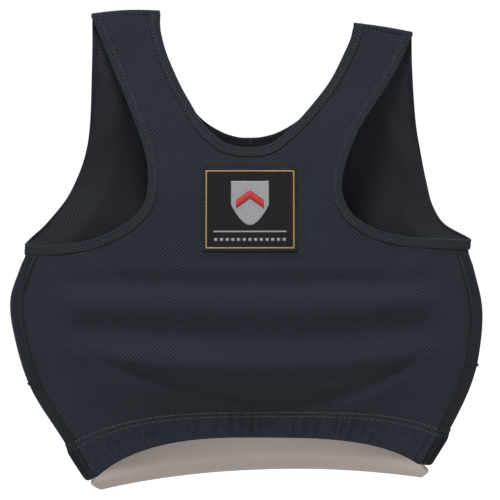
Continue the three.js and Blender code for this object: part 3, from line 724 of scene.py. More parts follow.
def lower_plan(side):
    """Angle and z from the top of the hem band up to the underbust seam."""
    up = np.linspace(0, 1, FRONT_LOWER_ROWS)[:, None]
    share = np.linspace(0, 1, FRONT_GRID[0] + 1)[None, :]
    angle = share * angle_on_back(side, UNDERBUST_Z[side], SEAM_SETBACK)
    low = front_hem_z(side, angle) + BAND_HEIGHT - BAND_OVERLAP
    return angle + 0 * up, lerp(low, underbust_z(side, angle), up)


front_lower = piece_from(
    "front_lower_knit",
    both_halves(lambda side: front_point(side, *lower_plan(side))),
    both_halves(lambda side: cloth_place(side, *lower_plan(side))),
)
give_thickness(front_lower, FABRIC_THICKNESS)

smooth_knit = knit_material(
    "smooth knit", SMOOTH_NAVY, SMOOTH_HOLLOW_SHADE, SMOOTH_PITCH, 0.3, 0.00012, 0.2
)
for panel, node in ((front_upper, "front_upper_panel"), (front_lower, "front_lower_panel")):
    panel.data.materials.append(smooth_knit)
    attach(panel, "garment")
    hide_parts(node)

# ---------------------------------------------------------------------------------------------
# The back: one panel of eyelet-mesh knit, cut as a racerback. It hangs from the straps between
# the two side seams, sags in two soft folds across its middle, and leans in over the hollow of
# the guard, where the elastic of the hem puckers its lower edge.
# ---------------------------------------------------------------------------------------------
HEM_SAG, HEM_SAG_TOP_Z, HEM_SAG_REACH = 24.0, 105.0, 0.92
BAND_TUCK = 7.0
BACK_NECK = {
    LEFT: [
        (0, 273.5), (11, 274.5), (23, 279), (37, 292.5), (49, 312), (58, 329), (68, 353),
        (73, 374), (73, 385),
    ],
    RIGHT: [
        (0, 273.5), (10, 274.5), (20, 279), (36, 293), (52.5, 312), (65.5, 330), (76, 351),
        (81.5, 364), (84, 375),
    ],
}
BACK_ARMHOLE = {
    LEFT: [
        (156, 195.5), (130, 199), (103, 210), (86, 225), (81, 243), (83, 268), (94, 300),
        (114, 348), (128, 382.5),
    ],
    RIGHT: [
        (156, 200.5), (140, 201), (120, 203), (98, 209), (80, 222), (73, 240), (77, 264),
        (89, 292), (117, 336), (131, 367.5),
    ],
}
FOLD_HEIGHT, FOLD_SPACING, FOLD_CREST_Z = 3.6, 40.0, 150.0
FOLD_SMILE, FOLD_SMILE_REACH = 11.0, 135.0
CREASE_DEPTH, CREASE_WIDTH, CREASE_Z = 3.0, 6.0, 72.0
CREASE_RISE, CREASE_REACH = 36.0, 130.0
DENT_DEPTH, DENT_WIDTH, DENT_Z = 0.9, 5.5, 183.0
BACK_SWAY, ARMHOLE_PULL = 0.6, 0.5
PUCKER_HEIGHT, PUCKER_FADE = 0.55, 11.0
BACK_GRID = (110, 170)
MESH_NAVY = (0.0240, 0.0290, 0.0400)
# Painted shade in the eyelet holes of the back's mesh.
MESH_HOLE_SHADE = (0.0085, 0.0100, 0.0145)
EYELET_PITCH = 0.0031

for side in (LEFT, RIGHT):
    start = (flank(side, SEAM_START[side]) - SEAM_SETBACK, SEAM_START[side])
    BACK_ARMHOLE[side].insert(0, start)
    FRONT_ARMHOLE[side].insert(0, (angle_on_back(side, start[1], SEAM_SETBACK), start[1]))


def drape(x, z):
    """How far the back's folds stand out, in millimetres: cosine waves down its middle that sag
    like a smile, a sharp crease below them, a dent under the label, and a slow uneven sway."""
    smile = 1 - (x / FOLD_SMILE_REACH) ** 2
    level = z + FOLD_SMILE * smile * smooth_step(175, 95, z)
    middle = smooth_step(165, 120, np.abs(x))
    waves = FOLD_HEIGHT * np.cos((level - FOLD_CREST_Z) * 2 * np.pi / FOLD_SPACING)
    waves = waves * smooth_step(92, 112, level) * (1 - smooth_step(160, 182, level))
    crease_z = CREASE_Z + CREASE_RISE * (x / CREASE_REACH) ** 2 + 6.0 * np.sin(x * 0.02)
    crease = -CREASE_DEPTH * np.exp(-(((z - crease_z) / CREASE_WIDTH) ** 2))
    crease = crease * smooth_step(150, 110, np.abs(x))
    under_label = -DENT_DEPTH * np.exp(-(((z - DENT_Z) / DENT_WIDTH) ** 2))
    under_label = under_label * smooth_step(52, 36, np.abs(x))
    sway = BACK_SWAY * np.sin(x * 0.047 + z * 0.031) * np.sin(z * 0.052 - x * 0.018)
    pull = ARMHOLE_PULL * np.sin((np.abs(x) - 0.9 * z) * 0.16) * smooth_step(60, 120, np.abs(x))
    pull = pull * smooth_step(150, 185, z) * (1 - smooth_step(205, 235, z))
    return (waves + crease) * middle + under_label + sway + pull


def hem_z(side, x):
    """Height of the back's hem: it drops with a power of the share of the way to the seam."""
    share = np.minimum(x / hem_corner(side)[0], 1)
    return HEM_CENTRE_Z - HEM_DROP[side] * share ** HEM_POWER[side]


def band_rise(side, x):
    """The band's height: its full width at the seams, and less at the centre, by a square."""
    return BAND_HEIGHT - BAND_TUCK * (1 - np.minimum(x / hem_corner(side)[0], 1) ** 2)


def band_top_z(side, share):
    """Height of the band's top at a share of the way to the seam."""
    x = share * hem_corner(side)[0]
    return hem_z(side, x) + band_rise(side, x)


def puckers(x, above_band):
    """Small upright pleats that the elastic draws in: two sines, which die away exponentially
    above the band."""
    pleats = np.sin(x * 0.62 + 1.3 * np.sin(x * 0.11)) + 0.6 * np.sin(x * 1.13 + 0.8)
    return PUCKER_HEIGHT * pleats * np.exp(-np.maximum(above_band, 0) / PUCKER_FADE)


def back_point(side, x, z, offset=0.0):
    """A point of the back at x and z: y = (B + offset)(1 - s^4)^(1/4) + gap - sag + folds, with s
    the share of the half width, and the sag growing from nothing at mid back to the hem."""
    width = flank(side, z)
    share = np.minimum(np.abs(x) / (width + offset), 1)
    across = (1 - share**4) ** 0.25
    back_depth = BACK_DEPTH * (1 - shoulder_share(z))
    gap = STRAP_HALF_GAP * shoulder_share(z)
    spread = np.maximum(1 - (share / HEM_SAG_REACH) ** 2, 0)
    sag = HEM_SAG * spread * (1 - smooth_step(HEM_CENTRE_Z, HEM_SAG_TOP_Z, z))
    above_band = z - hem_z(side, np.abs(x)) - band_rise(side, np.abs(x))
    folds = (drape(side * x, z) + puckers(side * x, above_band)) * across
    y = (back_depth + offset) * across + gap - sag + folds
    return np.stack([side * x, y, z + 0 * x], -1)


def back_parameters(side, point):
    """The back's own parameters, x and z, of a point on it."""
    return np.abs(point[..., 0]), point[..., 2]


def back_seam_x(side, z):
    """x of the side seam, a setback in from the flank fold."""
    return flank(side, z) - SEAM_SETBACK


def back_bottom(side, share):
    """The lower edge of the back, which the band laps over."""
    return band_top_z(side, share) - BAND_OVERLAP


def back_plan(side):
    """x and z of each point of half the back."""
    return half_panel(
        side, *BACK_GRID, BACK_NECK, BACK_ARMHOLE, back_parameters, back_seam_x, back_bottom,
        back_point,
    )


def back_place(side, x, z):
    """Place on the cloth, in metres: x and z, as it is cut flat."""
    return np.stack([side * x * MM, z * MM + 0 * x], -1)


back = piece_from(
    "back_mesh_knit",
    both_halves(lambda side: back_point(side, *back_plan(side))[:, ::-1]),
    both_halves(lambda side: back_place(side, *back_plan(side))[:, ::-1]),
)
give_thickness(back, FABRIC_THICKNESS)
mesh_knit = knit_material("eyelet mesh knit", MESH_NAVY, MESH_HOLE_SHADE, EYELET_PITCH, 0.42, 0.0005)
back.data.materials.append(mesh_knit)
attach(back, "garment")
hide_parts("back_panel")

# ---------------------------------------------------------------------------------------------
# The hem band: the knit of each half is folded up round a flat elastic and held by a twin-needle
# stitch along its top. The elastic draws it into small upright gathers. The back half is mesh
# knit and the front half smooth knit, and they meet at the side seams.
# ---------------------------------------------------------------------------------------------
BAND_OUT, BAND_IN, BAND_PRESSED = 2.3, -1.5, 0.9
BAND_CLOTH = 0.7
ELASTIC_LAYER = 0.4
BAND_BACK_FLAT, BAND_FRONT_FLAT, ELASTIC_FLAT = (0.30, 0.058), (0.42, 0.058), (0.66, 0.021)
BAND_FOLD_SHARE = 0.07
GATHERS_BACK, GATHERS_FRONT, GATHER_MM_PER_DEGREE = 1.3, 0.9, 2.6
BAND_BACK_COLUMNS, BAND_FRONT_COLUMNS = 240, 280
ELASTIC_BACK_COLUMNS, ELASTIC_FRONT_COLUMNS, ELASTIC_ROWS = 120, 140, 9
BACK_HALF_LENGTH, FRONT_HALF_LENGTH = 0.15, 0.21
ELASTIC_LOW, ELASTIC_HIGH, ELASTIC_THICKNESS, ELASTIC_PITCH = 0.12, 0.86, 0.8, 0.0012
ELASTIC_BLACK = (0.010, 0.010, 0.013)
# Painted shade in the grooves between the elastic's ribs.
ELASTIC_GROOVE_SHADE = (0.004, 0.004, 0.005)


def band_section(steps=18):
    """Profile of the folded band from the top of its outer layer round the fold to the top of its
    inner layer: the share of its height, and how far out it lies."""
    down = np.linspace(1, BAND_FOLD_SHARE, steps)
    turn = np.linspace(0, np.pi, 9)[1:-1]
    middle, half = (BAND_OUT + BAND_IN) / 2, (BAND_OUT - BAND_IN) / 2
    height = np.concatenate([down, BAND_FOLD_SHARE * (1 - np.sin(turn)), down[::-1]])
    flat_out = lerp(BAND_OUT, BAND_PRESSED, smooth_step(0.72, 0.95, down))
    out = np.concatenate([flat_out, middle + half * np.cos(turn), 0 * down + BAND_IN])
    return height[:, None], out[:, None]


def gathers(distance, height, strength):
    """Upright gathers of the band: uneven sines along it, strongest at mid height."""
    phase = distance * 0.80 + 1.6 * np.sin(distance * 0.07) + 0.9 * np.sin(distance * 0.19)
    uneven = 0.65 + 0.35 * np.sin(distance * 0.085 + 0.6)
    fold = uneven * (2 * (0.5 + 0.5 * np.sin(phase)) ** 2 - 1)
    fold = fold + 0.3 * np.sin(distance * 1.9 + 1.0)
    return strength * fold * np.clip(np.sin(np.pi * np.clip(height, 0, 1)), 0, 1) ** 0.6


def band_back_point(side, share, height, offset):
    """A point of the band's back half: the back's surface, moved out by the offset and gathers."""
    corner_x, _, corner_angle = hem_corner(side)
    hem_x = share * corner_x
    z = lerp(hem_z(side, hem_x), band_top_z(side, share), height)
    seam_x = (flank(side, z) + offset) * math.sqrt(math.sin(math.radians(corner_angle)))
    gather = gathers(side * hem_x, height, GATHERS_BACK)
    return back_point(side, share * seam_x, z, offset + gather)


def band_front_point(side, share, height, offset):
    """A point of the band's front half: the front's surface, moved out the same way."""
    angle = share * hem_corner(side)[2]
    z = front_hem_z(side, angle) + height * BAND_HEIGHT
    gather = gathers(side * angle * GATHER_MM_PER_DEGREE, height, GATHERS_FRONT)
    return front_point(side, angle + 0 * z, z, offset=offset + gather)


def band_half(side, point_at, columns):
    """The band's profile carried along half the hem."""
    height, out = band_section()
    share = np.linspace(0, 1, columns)[None, :]
    return point_at(side, share + 0 * height, height + 0 * share, out + 0 * share)


def band_map(side, length, columns):
    """Place on the cloth, in metres: the way along the hem, and the height."""
    height, _ = band_section()
    along = side * np.linspace(0, 1, columns)[None, :] * length
    return np.stack([along + 0 * height, height * BAND_HEIGHT * MM + 0 * along], -1)


band_back = piece_from(
    "hem_band_mesh",
    both_halves(lambda side: band_half(side, band_back_point, BAND_BACK_COLUMNS)),
    both_halves(lambda side: band_map(side, BACK_HALF_LENGTH, BAND_BACK_COLUMNS)),
)
band_front = piece_from(
    "hem_band_smooth",
    both_halves(lambda side: band_half(side, band_front_point, BAND_FRONT_COLUMNS)),
    both_halves(lambda side: band_map(side, FRONT_HALF_LENGTH, BAND_FRONT_COLUMNS)),
)


def elastic_part(side, point_at, columns):
    """The elastic: a flat strip between two heights of the band, inside its fold."""
    height = np.linspace(ELASTIC_LOW, ELASTIC_HIGH, ELASTIC_ROWS)[:, None]
    share = np.linspace(0, 1, columns)[None, :]
    return point_at(side, share + 0 * height, height + 0 * share, ELASTIC_LAYER + 0 * share)


def elastic_map(side, length, columns, start=0.0):
    """Place on the elastic, in metres: the way along it from a start, and across it."""
    height = np.linspace(0, ELASTIC_FLAT[1], ELASTIC_ROWS)[:, None]
    along = start + side * np.linspace(0, 1, columns)[None, :] * length
    return np.stack([along + 0 * height, height + 0 * along], -1)


elastic = piece_from(
    "waist_elastic_tape",
    both_halves(lambda side: elastic_part(side, band_back_point, ELASTIC_BACK_COLUMNS)[:, ::-1])
    + both_halves(lambda side: elastic_part(side, band_front_point, ELASTIC_FRONT_COLUMNS)),
    both_halves(lambda side: elastic_map(side, BACK_HALF_LENGTH, ELASTIC_BACK_COLUMNS)[:, ::-1])
    + both_halves(lambda side: elastic_map(side, FRONT_HALF_LENGTH, ELASTIC_FRONT_COLUMNS, 1.0)),
)
ribbed_elastic = knit_material("ribbed elastic", ELASTIC_BLACK, ELASTIC_GROOVE_SHADE, ELASTIC_PITCH)
for piece, thickness, material, node, slot, flat in (
    (band_back, BAND_CLOTH, mesh_knit, "hem_band_back", "mesh_knit", BAND_BACK_FLAT),
    (band_front, BAND_CLOTH, smooth_knit, "hem_band_front", "smooth_knit", BAND_FRONT_FLAT),
    (elastic, ELASTIC_THICKNESS, ribbed_elastic, "waist_elastic", "elastic", ELASTIC_FLAT),
):
    give_thickness(piece, thickness)
    piece.data.materials.append(material)
    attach(piece, "garment")
    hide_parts(node)

# ---------------------------------------------------------------------------------------------
# The seams: a flat overlocked seam under the bust and one down each side. Each is a low rib of
# folded knit with slanting stitches of polyester thread across it.
# ---------------------------------------------------------------------------------------------
SEAM_WIDTH = 2.6
SEAM_HEIGHT, SEAM_LIFT, SEAM_CLOTH = 1.1, 0.35, 0.5
SEAM_STITCH = (2.6, 2.4, 0.7)  # length, pitch and slant
SIDE_SEAM_STEPS, UNDERBUST_STEPS = 90, 160
THREAD_NAVY = (0.0125, 0.0150, 0.0215)
STITCH_LENGTH, STITCH_PITCH, STITCH_RADIUS = 2.2, 2.9, 0.2


def stitches(name, rows, length=STITCH_LENGTH, pitch=STITCH_PITCH, slant=0.0):
    """Stitches along rows of (points, normals): each is an ellipsoid of 24 faces, laid along the
    row and turned by the slant about the normal. Points are spaced a pitch apart by arc length."""
    around = np.linspace(0, 2 * np.pi, 7)[:-1]
    along = np.array([-1.0, -0.72, 0.0, 0.72, 1.0])
    girth = np.array([0.05, 0.72, 1.0, 0.72, 0.05])
    unit = np.stack(
        [
            np.repeat(along, 6) * length / 2,
            np.outer(girth, np.cos(around)).ravel() * STITCH_RADIUS * 1.25,
            np.outer(girth, np.sin(around)).ravel() * STITCH_RADIUS,
        ],
        -1,
    )
    ring, turn = np.arange(4)[:, None] * 6, np.arange(6)[None, :]
    after = (np.arange(6)[None, :] + 1) % 6
    quads = np.stack([ring + turn, ring + 6 + turn, ring + 6 + after, ring + after], -1)
    quads = quads.reshape(-1, 4)
    points, faces = [], []
    for path, normals in rows:
        steps = np.linalg.norm(np.diff(path, axis=0), axis=-1)
        distance = np.concatenate([[0], np.cumsum(steps)])
        at = np.arange(pitch / 2, distance[-1], pitch)
        centre = np.stack([np.interp(at, distance, path[:, k]) for k in range(3)], -1)
        lift = np.stack([np.interp(at, distance, normals[:, k]) for k in range(3)], -1)
        tangent = np.stack(
            [np.interp(at, distance, np.gradient(path[:, k], distance)) for k in range(3)], -1
        )
        lift /= np.linalg.norm(lift, axis=-1, keepdims=True)
        tangent -= lift * (tangent * lift).sum(-1, keepdims=True)
        tangent /= np.linalg.norm(tangent, axis=-1, keepdims=True)
        side_way = np.cross(lift, tangent)
        forward = tangent * math.cos(slant) + side_way * math.sin(slant)
        side_way = side_way * math.cos(slant) - tangent * math.sin(slant)
        body = (
            centre[:, None] + unit[None, :, :1] * forward[:, None]
            + unit[None, :, 1:2] * side_way[:, None] + unit[None, :, 2:] * lift[:, None]
        )
        start = sum(len(p) for p in points)
        faces.append((quads[None] + start + 30 * np.arange(len(at))[:, None, None]).reshape(-1, 4))
        points.append(body.reshape(-1, 3))
    mesh = bpy.data.meshes.new(name)
    mesh.from_pydata((np.vstack(points) * MM).tolist(), [], np.vstack(faces).tolist())
    mesh.polygons.foreach_set("use_smooth", [True] * len(mesh.polygons))
    piece = bpy.data.objects.new(name, mesh)
    bpy.context.scene.collection.objects.link(piece)
    return piece


def thread_material(name, colour):
    """Polyester thread: plain colour with fine twisted highlights along it."""
    material = bpy.data.materials.new(name)
    material.use_nodes = True
    nodes, links = material.node_tree.nodes, material.node_tree.links
    nodes.clear()

    place = nodes.new("ShaderNodeTexCoord")
    twist = nodes.new("ShaderNodeTexNoise")
    shade = nodes.new("ShaderNodeMapRange")
    tinted = nodes.new("ShaderNodeMix")
    surface = nodes.new("ShaderNodeBsdfPrincipled")
    output = nodes.new("ShaderNodeOutputMaterial")
    colour_frame = nodes.new("NodeFrame")

    place.label, place.location = "place on the garment", (-900, 0)
    twist.label, twist.location = "twist of the thread", (-700, 0)
    shade.label, shade.location = "light and dark plies", (-500, 0)
    tinted.label, tinted.location = "shaded thread", (-300, 0)
    surface.label, surface.location = "thread", (0, 0)
    output.label, output.location = "thread surface", (300, 0)
    colour_frame.label = "colour of the thread"
    for node in (twist, shade, tinted):
        node.parent = colour_frame

    twist.inputs["Scale"].default_value = 1100
    shade.inputs["To Min"].default_value = 0.6
    shade.inputs["To Max"].default_value = 1.5
    tinted.data_type = "RGBA"
    tinted.blend_type = "MULTIPLY"
    tinted.inputs["Factor"].default_value = 1
    tinted.inputs["A"].default_value = (*colour, 1)
    surface.inputs["Roughness"].default_value = 0.6
    surface.inputs["Sheen Weight"].default_value = 0.3

    links.new(place.outputs["Object"], twist.inputs["Vector"])
    links.new(twist.outputs["Fac"], shade.inputs["Value"])
    links.new(shade.outputs["Result"], tinted.inputs["B"])
    links.new(tinted.outputs["Result"], surface.inputs["Base Color"])
    links.new(surface.outputs["BSDF"], output.inputs["Surface"])
    return material


thread = thread_material("navy thread", THREAD_NAVY)


def seam_rib(point_at, count):
    """A low rounded rib of thread along a line on the body: point_at gives the body's surface at
    a share along the line, a way to one side and a lift, and the rib's section is half a sine."""
    share = np.linspace(0, 1, count)[:, None]
    way = np.linspace(-1, 1, 7)[None, :]
    lift = SEAM_LIFT + SEAM_HEIGHT * np.cos(way * np.pi / 2)
    return point_at(share + 0 * way, way * SEAM_WIDTH / 2 + 0 * share, lift + 0 * share)


def side_seam_point(side):
    """The surface along a side seam, from the top of the band to just under the armhole."""
    bottom, top = hem_corner(side)[1] + BAND_HEIGHT, SEAM_START[side] - 5.0

    def at(share, way, lift):
        z = lerp(bottom, top, share)
        return back_point(side, flank(side, z) - SEAM_SETBACK + way, z, lift)

    return at


def underbust_point(side):
    """The surface along half of the underbust seam, from the centre to the side seam."""
    end = angle_on_back(side, UNDERBUST_Z[side], SEAM_SETBACK)

    def at(share, way, lift):
        angle = share * end
        return front_point(side, angle, underbust_z(side, angle) + way, offset=lift)

    return at


def grid_for(side, grid):
    """Turns the left side's grid round, so that both sides face the same way."""
    return grid if side == RIGHT else grid[:, ::-1]


for side, word in ((LEFT, "left"), (RIGHT, "right")):
    rib = seam_rib(side_seam_point(side), SIDE_SEAM_STEPS)
    seam = piece_from(f"side_seam_rib_{word}", [grid_for(side, rib)[:, ::-1]])
    give_thickness(seam, SEAM_CLOTH)
    seam.data.materials.append(smooth_knit)
    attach(seam, "garment")
    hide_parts(f"side_seam_{word}")
    middle = rib[:, 3]
    row = stitches(
        f"side_seam_stitches_{word}", [(middle, side * normals_of(rib)[:, 3])], *SEAM_STITCH
    )
    row.data.materials.append(thread)
    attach(row, "garment")

underbust_ribs = [seam_rib(underbust_point(side), UNDERBUST_STEPS) for side in (LEFT, RIGHT)]
underbust = piece_from(
    "underbust_seam_rib", [grid_for(s, g) for s, g in zip((LEFT, RIGHT), underbust_ribs)]
)
give_thickness(underbust, SEAM_CLOTH)
underbust.data.materials.append(smooth_knit)
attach(underbust, "garment")
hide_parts("underbust_seam")
underbust_row = stitches(
    "underbust_seam_stitches",
    [(g[:, 3], -s * normals_of(g)[:, 3]) for s, g in zip((LEFT, RIGHT), underbust_ribs)],
    *SEAM_STITCH,
)
underbust_row.data.materials.append(thread)
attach(underbust_row, "garment")

# ---------------------------------------------------------------------------------------------
# The bindings: the raw edge of the neck and of each armhole is turned in a folded strip 7.6 mm
# wide, of smooth knit on the front and mesh knit on the back. A twin-needle stitch holds it and
# shows as two rows on both faces.
# ---------------------------------------------------------------------------------------------
BINDING_WIDTH = 7.6
BINDING_HALF = 0.8
BINDING_CLOTH = 0.5
BINDING_TURN, BINDING_SWELL, BINDING_SWELL_WIDTH = 0.9, 0.25, 5.0
BINDING_ROUNDING, SHOULDER_CROWN = 1.3, 1.6
BINDING_PITCH = 0.0007
NECK_STEPS, ARMHOLE_STEPS = 90, 130
BINDING_NAVY = (0.0140, 0.0165, 0.0250)
# Painted shade in the hollows between the loops of the binding knit.
BINDING_HOLLOW_SHADE = (0.008, 0.009, 0.0125)
STITCH_INSETS = (5.0, 6.7)
SHOULDER_SLOPE = {LEFT: -0.0455, RIGHT: -0.16}


def binding_section():
    """Profile of the folded strip: distance inside the finished edge, and lift off the cloth."""
    flat = np.linspace(BINDING_WIDTH, BINDING_TURN, 9)
    turn = np.linspace(np.pi / 2, -np.pi / 2, 9)[1:-1]
    swell_share = np.clip((BINDING_WIDTH - flat) / BINDING_SWELL_WIDTH, 0, 1)
    outer = BINDING_HALF + BINDING_SWELL * np.sin(np.pi * swell_share)
    distance = np.concatenate([flat, BINDING_TURN - BINDING_TURN * np.cos(turn), flat[::-1]])
    return distance, np.concatenate([outer, BINDING_HALF * np.sin(turn), -outer[::-1]])


def binding_rows(side, outline, turn, surface, share, front):
    """Grid of the strip along one edge, from its outer face round the edge to its inner face."""
    facing = -1 if front else 1
    distance, lift = binding_section()
    columns = [
        edge_points(side, outline, turn, surface, share, d, facing * l)
        for d, l in zip(distance, lift)
    ]
    grid = np.stack(columns, 1)
    near_end = smooth_step(0.94, 1, share)[:, None]
    edge = np.abs(grid[:, len(distance) // 2, 0])[:, None]
    grid[..., 2] += SHOULDER_SLOPE[side] * (np.abs(grid[..., 0]) - edge) * near_end
    grid[..., 2] -= BINDING_ROUNDING * (1 - smooth_step(-0.5, 3.0, distance)) * near_end
    return grid


def over_shoulder(last_row, first_row, steps=7):
    """Rows that carry the strip over the shoulder: half an ellipse between the two layers."""
    turn = np.linspace(0, np.pi, steps + 2)[1:-1, None, None]
    middle, half = (last_row + first_row) / 2, (last_row - first_row) / 2
    crown = middle + half * np.cos(turn)
    crown[..., 2] += SHOULDER_CROWN * np.sin(turn[..., 0])
    return crown


def bound_edges(front_edges, back_edges, turn, share):
    """The strip's grid along one kind of edge, on each side and on the front and the back."""
    return {
        (side, front): binding_rows(
            side, (front_edges if front else back_edges)[side], turn,
            front_point if front else back_point, share, front,
        )
        for side in (LEFT, RIGHT) for front in (True, False)
    }


neck_share = np.linspace(0, 1, NECK_STEPS)
arm_share = np.linspace(0, 1, ARMHOLE_STEPS)
neck_runs = bound_edges(FRONT_NECK, BACK_NECK, -1, neck_share)
arm_runs = bound_edges(FRONT_ARMHOLE, BACK_ARMHOLE, 1, arm_share)
neck_grid = np.concatenate([
    neck_runs[LEFT, False][::-1],
    neck_runs[RIGHT, False][1:],
    over_shoulder(neck_runs[RIGHT, False][-1], neck_runs[RIGHT, True][-1]),
    neck_runs[RIGHT, True][::-1],
    neck_runs[LEFT, True][1:],
    over_shoulder(neck_runs[LEFT, True][-1], neck_runs[LEFT, False][-1]),
])
arm_grids = {
    s: np.concatenate([
        arm_runs[s, False],
        over_shoulder(arm_runs[s, False][-1], arm_runs[s, True][-1]),
        arm_runs[s, True][::-1][:-1],
    ])
    for s in (LEFT, RIGHT)
}


def binding_map(grid):
    """Place on the cloth, in metres: x and z, so that the back's strips match its mesh."""
    return grid[..., ::2] * MM


binding_knit = knit_material(
    "binding knit", BINDING_NAVY, BINDING_HOLLOW_SHADE, BINDING_PITCH, 0.3, 0.0001, 0.15
)


def add_binding(name, node, grid, turn_over):
    """One bound edge: faces in front of the middle plane are smooth knit, those behind it mesh."""
    grid = grid[:, ::-1] if turn_over else grid
    strip = piece_from(name, [grid], [binding_map(grid)], closed=True)
    give_thickness(strip, BINDING_CLOTH)
    strip.data.materials.append(binding_knit)
    strip.data.materials.append(mesh_knit)
    middles = np.empty(len(strip.data.polygons) * 3)
    strip.data.polygons.foreach_get("center", middles)
    on_back = (middles[1::3] > 0.0).astype(np.int32)
    strip.data.polygons.foreach_set("material_index", on_back)
    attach(strip, "garment")
    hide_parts(node)


add_binding("neck_binding_strip", "neck_binding", neck_grid, False)
add_binding("armhole_strip_left", "armhole_binding_left", arm_grids[LEFT], True)
add_binding("armhole_strip_right", "armhole_binding_right", arm_grids[RIGHT], False)


def edge_stitches(side, outline, turn, surface, share, front):
    """Two rows of stitches on each face of a bound edge, as (points, normals)."""
    facing = -1 if front else 1
    rows = []
    for face in (1, -1):
        for inset in STITCH_INSETS:
            lift = face * facing * (BINDING_HALF + BINDING_CLOTH / 2 + 0.25)
            path = edge_points(side, outline, turn, surface, share, inset, lift)
            base = edge_points(side, outline, turn, surface, share, inset, 0.0)
            rows.append((path, path - base))
    return rows


edge_rows = []
for side in (LEFT, RIGHT):
    for front in (False, True):
        surface = front_point if front else back_point
        neck = (FRONT_NECK if front else BACK_NECK)[side]
        armhole = (FRONT_ARMHOLE if front else BACK_ARMHOLE)[side]
        edge_rows += edge_stitches(side, neck, -1, surface, neck_share, front)
        edge_rows += edge_stitches(side, armhole, 1, surface, arm_share, front)
binding_stitches = stitches("binding_twin_stitch", edge_rows)
binding_stitches.data.materials.append(thread)
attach(binding_stitches, "garment")

# ---------------------------------------------------------------------------------------------
# The hem's stitching: two rows of paler thread, sewn with a twin needle along the top of the
# band, where its fold is pressed flat.
# ---------------------------------------------------------------------------------------------
BAND_STITCH_LIFTS = {0.79: 1.10, 0.94: 0.50}  # share of the band's height, and lift off its cloth
BAND_STITCH_STEPS = 160
BAND_THREAD = (0.085, 0.100, 0.105)
BACKWARDS = (0.0, 1.0, 0.0)

share = np.linspace(0, 1, BAND_STITCH_STEPS)
band_rows = []
for side in (LEFT, RIGHT):
    for height, off_cloth in BAND_STITCH_LIFTS.items():
        place = (side, share, height + 0 * share, BAND_PRESSED + BAND_CLOTH / 2 + off_cloth)
        band_rows.append((band_back_point(*place), np.tile(BACKWARDS, (BAND_STITCH_STEPS, 1))))
        path = band_front_point(*place)
        band_rows.append((path, path * (1, 1, 0)))
band_stitches = stitches("hem_twin_stitch", band_rows)
band_stitches.data.materials.append(thread_material("pale navy thread", BAND_THREAD))
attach(band_stitches, "garment")

# ---------------------------------------------------------------------------------------------
# The shoulder seams: the back and front layers of each strap are joined over the shoulder, and
# the knit rolls over the folded seam allowance inside.
# ---------------------------------------------------------------------------------------------
CROWN_RISE, CROWN_DROP = {LEFT: 1.6, RIGHT: 0.6}, 0.4
ROLL_HALF, ROLL_HEIGHT, ROLL_SKIRT, ROLL_CLOTH = 0.55, 1.9, 1.6, 0.8
SEAM_PINCH, SEAM_PINCH_WIDTH = 0.22, 0.16

for side, word in ((LEFT, "left"), (RIGHT, "right")):
    neck_end = np.array(BACK_NECK[side][-1], float)
    arm_end = np.array(BACK_ARMHOLE[side][-1], float)
    share = np.linspace(0, 1, 40)[None, :]
    turn = np.linspace(-0.3, np.pi + 0.3, 25)[:, None]
    x = lerp(neck_end[0], arm_end[0], share)
    seam_z = lerp(neck_end[1], arm_end[1], share) - CROWN_DROP
    crown_z = seam_z + CROWN_RISE[side] * np.sin(np.pi * share)
    pinch = 1 - SEAM_PINCH * np.exp(-(((turn - np.pi / 2) / SEAM_PINCH_WIDTH) ** 2))
    y = (STRAP_HALF_GAP + ROLL_HALF) * np.cos(turn) + 0 * share
    z = crown_z + ROLL_HEIGHT * np.sin(turn) * pinch - ROLL_SKIRT * (np.sin(turn) < 0)
    roll = np.stack([side * x + 0 * turn, y, z], -1)
    shoulder = piece_from(
        f"shoulder_roll_{word}", [roll if side == RIGHT else roll[:, ::-1]],
        [np.stack([side * x * MM + 0 * turn, turn * 0.003 + 0 * x], -1)],
    )
    give_thickness(shoulder, ROLL_CLOTH)
    shoulder.data.materials.append(mesh_knit)
    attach(shoulder, "garment")
    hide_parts(f"shoulder_seam_{word}")

# ---------------------------------------------------------------------------------------------
# The label: a stiff black damask patch with a gold border line, a plain white shield with a red
# chevron, and rows of small white dashes. It is sewn on between the shoulder blades all round.
# ---------------------------------------------------------------------------------------------
LABEL_WIDTH, LABEL_HEIGHT = 75.0, 67.0
LABEL_BOTTOM_Z = 190.5
LABEL_THICKNESS = 0.7
LABEL_LIFT = 1.0
LABEL_PITCH = 0.0007
YARN_LIFT, CHEVRON_LIFT, YARN_THICKNESS = 0.42, 0.60, 0.25
LABEL_BLACK = (0.0125, 0.0115, 0.0120)
# Painted shade in the grooves of the label's weave.
LABEL_GROOVE_SHADE = (0.006, 0.006, 0.006)
GOLD = (0.42, 0.27, 0.10)
WHITE_YARN = (0.33, 0.33, 0.35)
RED_YARN = (0.50, 0.025, 0.022)


def on_label(u, v, lift=0.0):
    """A point of the label: u and v in millimetres from its lower middle, over the back."""
    on_left = back_point(LEFT, np.abs(u), LABEL_BOTTOM_Z + v)
    on_right = back_point(RIGHT, np.abs(u), LABEL_BOTTOM_Z + v)
    y = np.where(u < 0, on_right[..., 1], on_left[..., 1]) + LABEL_LIFT + lift
    return np.stack([u, y, on_left[..., 2]], -1)


u = np.linspace(-LABEL_WIDTH / 2, LABEL_WIDTH / 2, 61)[None, :]
v = np.linspace(0, LABEL_HEIGHT, 55)[:, None]
patch = piece_from(
    "woven_patch", [on_label(u + 0 * v, v + 0 * u)[:, ::-1]],
    [np.stack([u * MM + 0 * v, v * MM + 0 * u], -1)[:, ::-1]],
)
give_thickness(patch, LABEL_THICKNESS)
patch.data.materials.append(
    knit_material("woven label ground", LABEL_BLACK, LABEL_GROOVE_SHADE, LABEL_PITCH, 0.3, 0.0001, 0.2)
)
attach(patch, "garment")
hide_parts("label_patch")


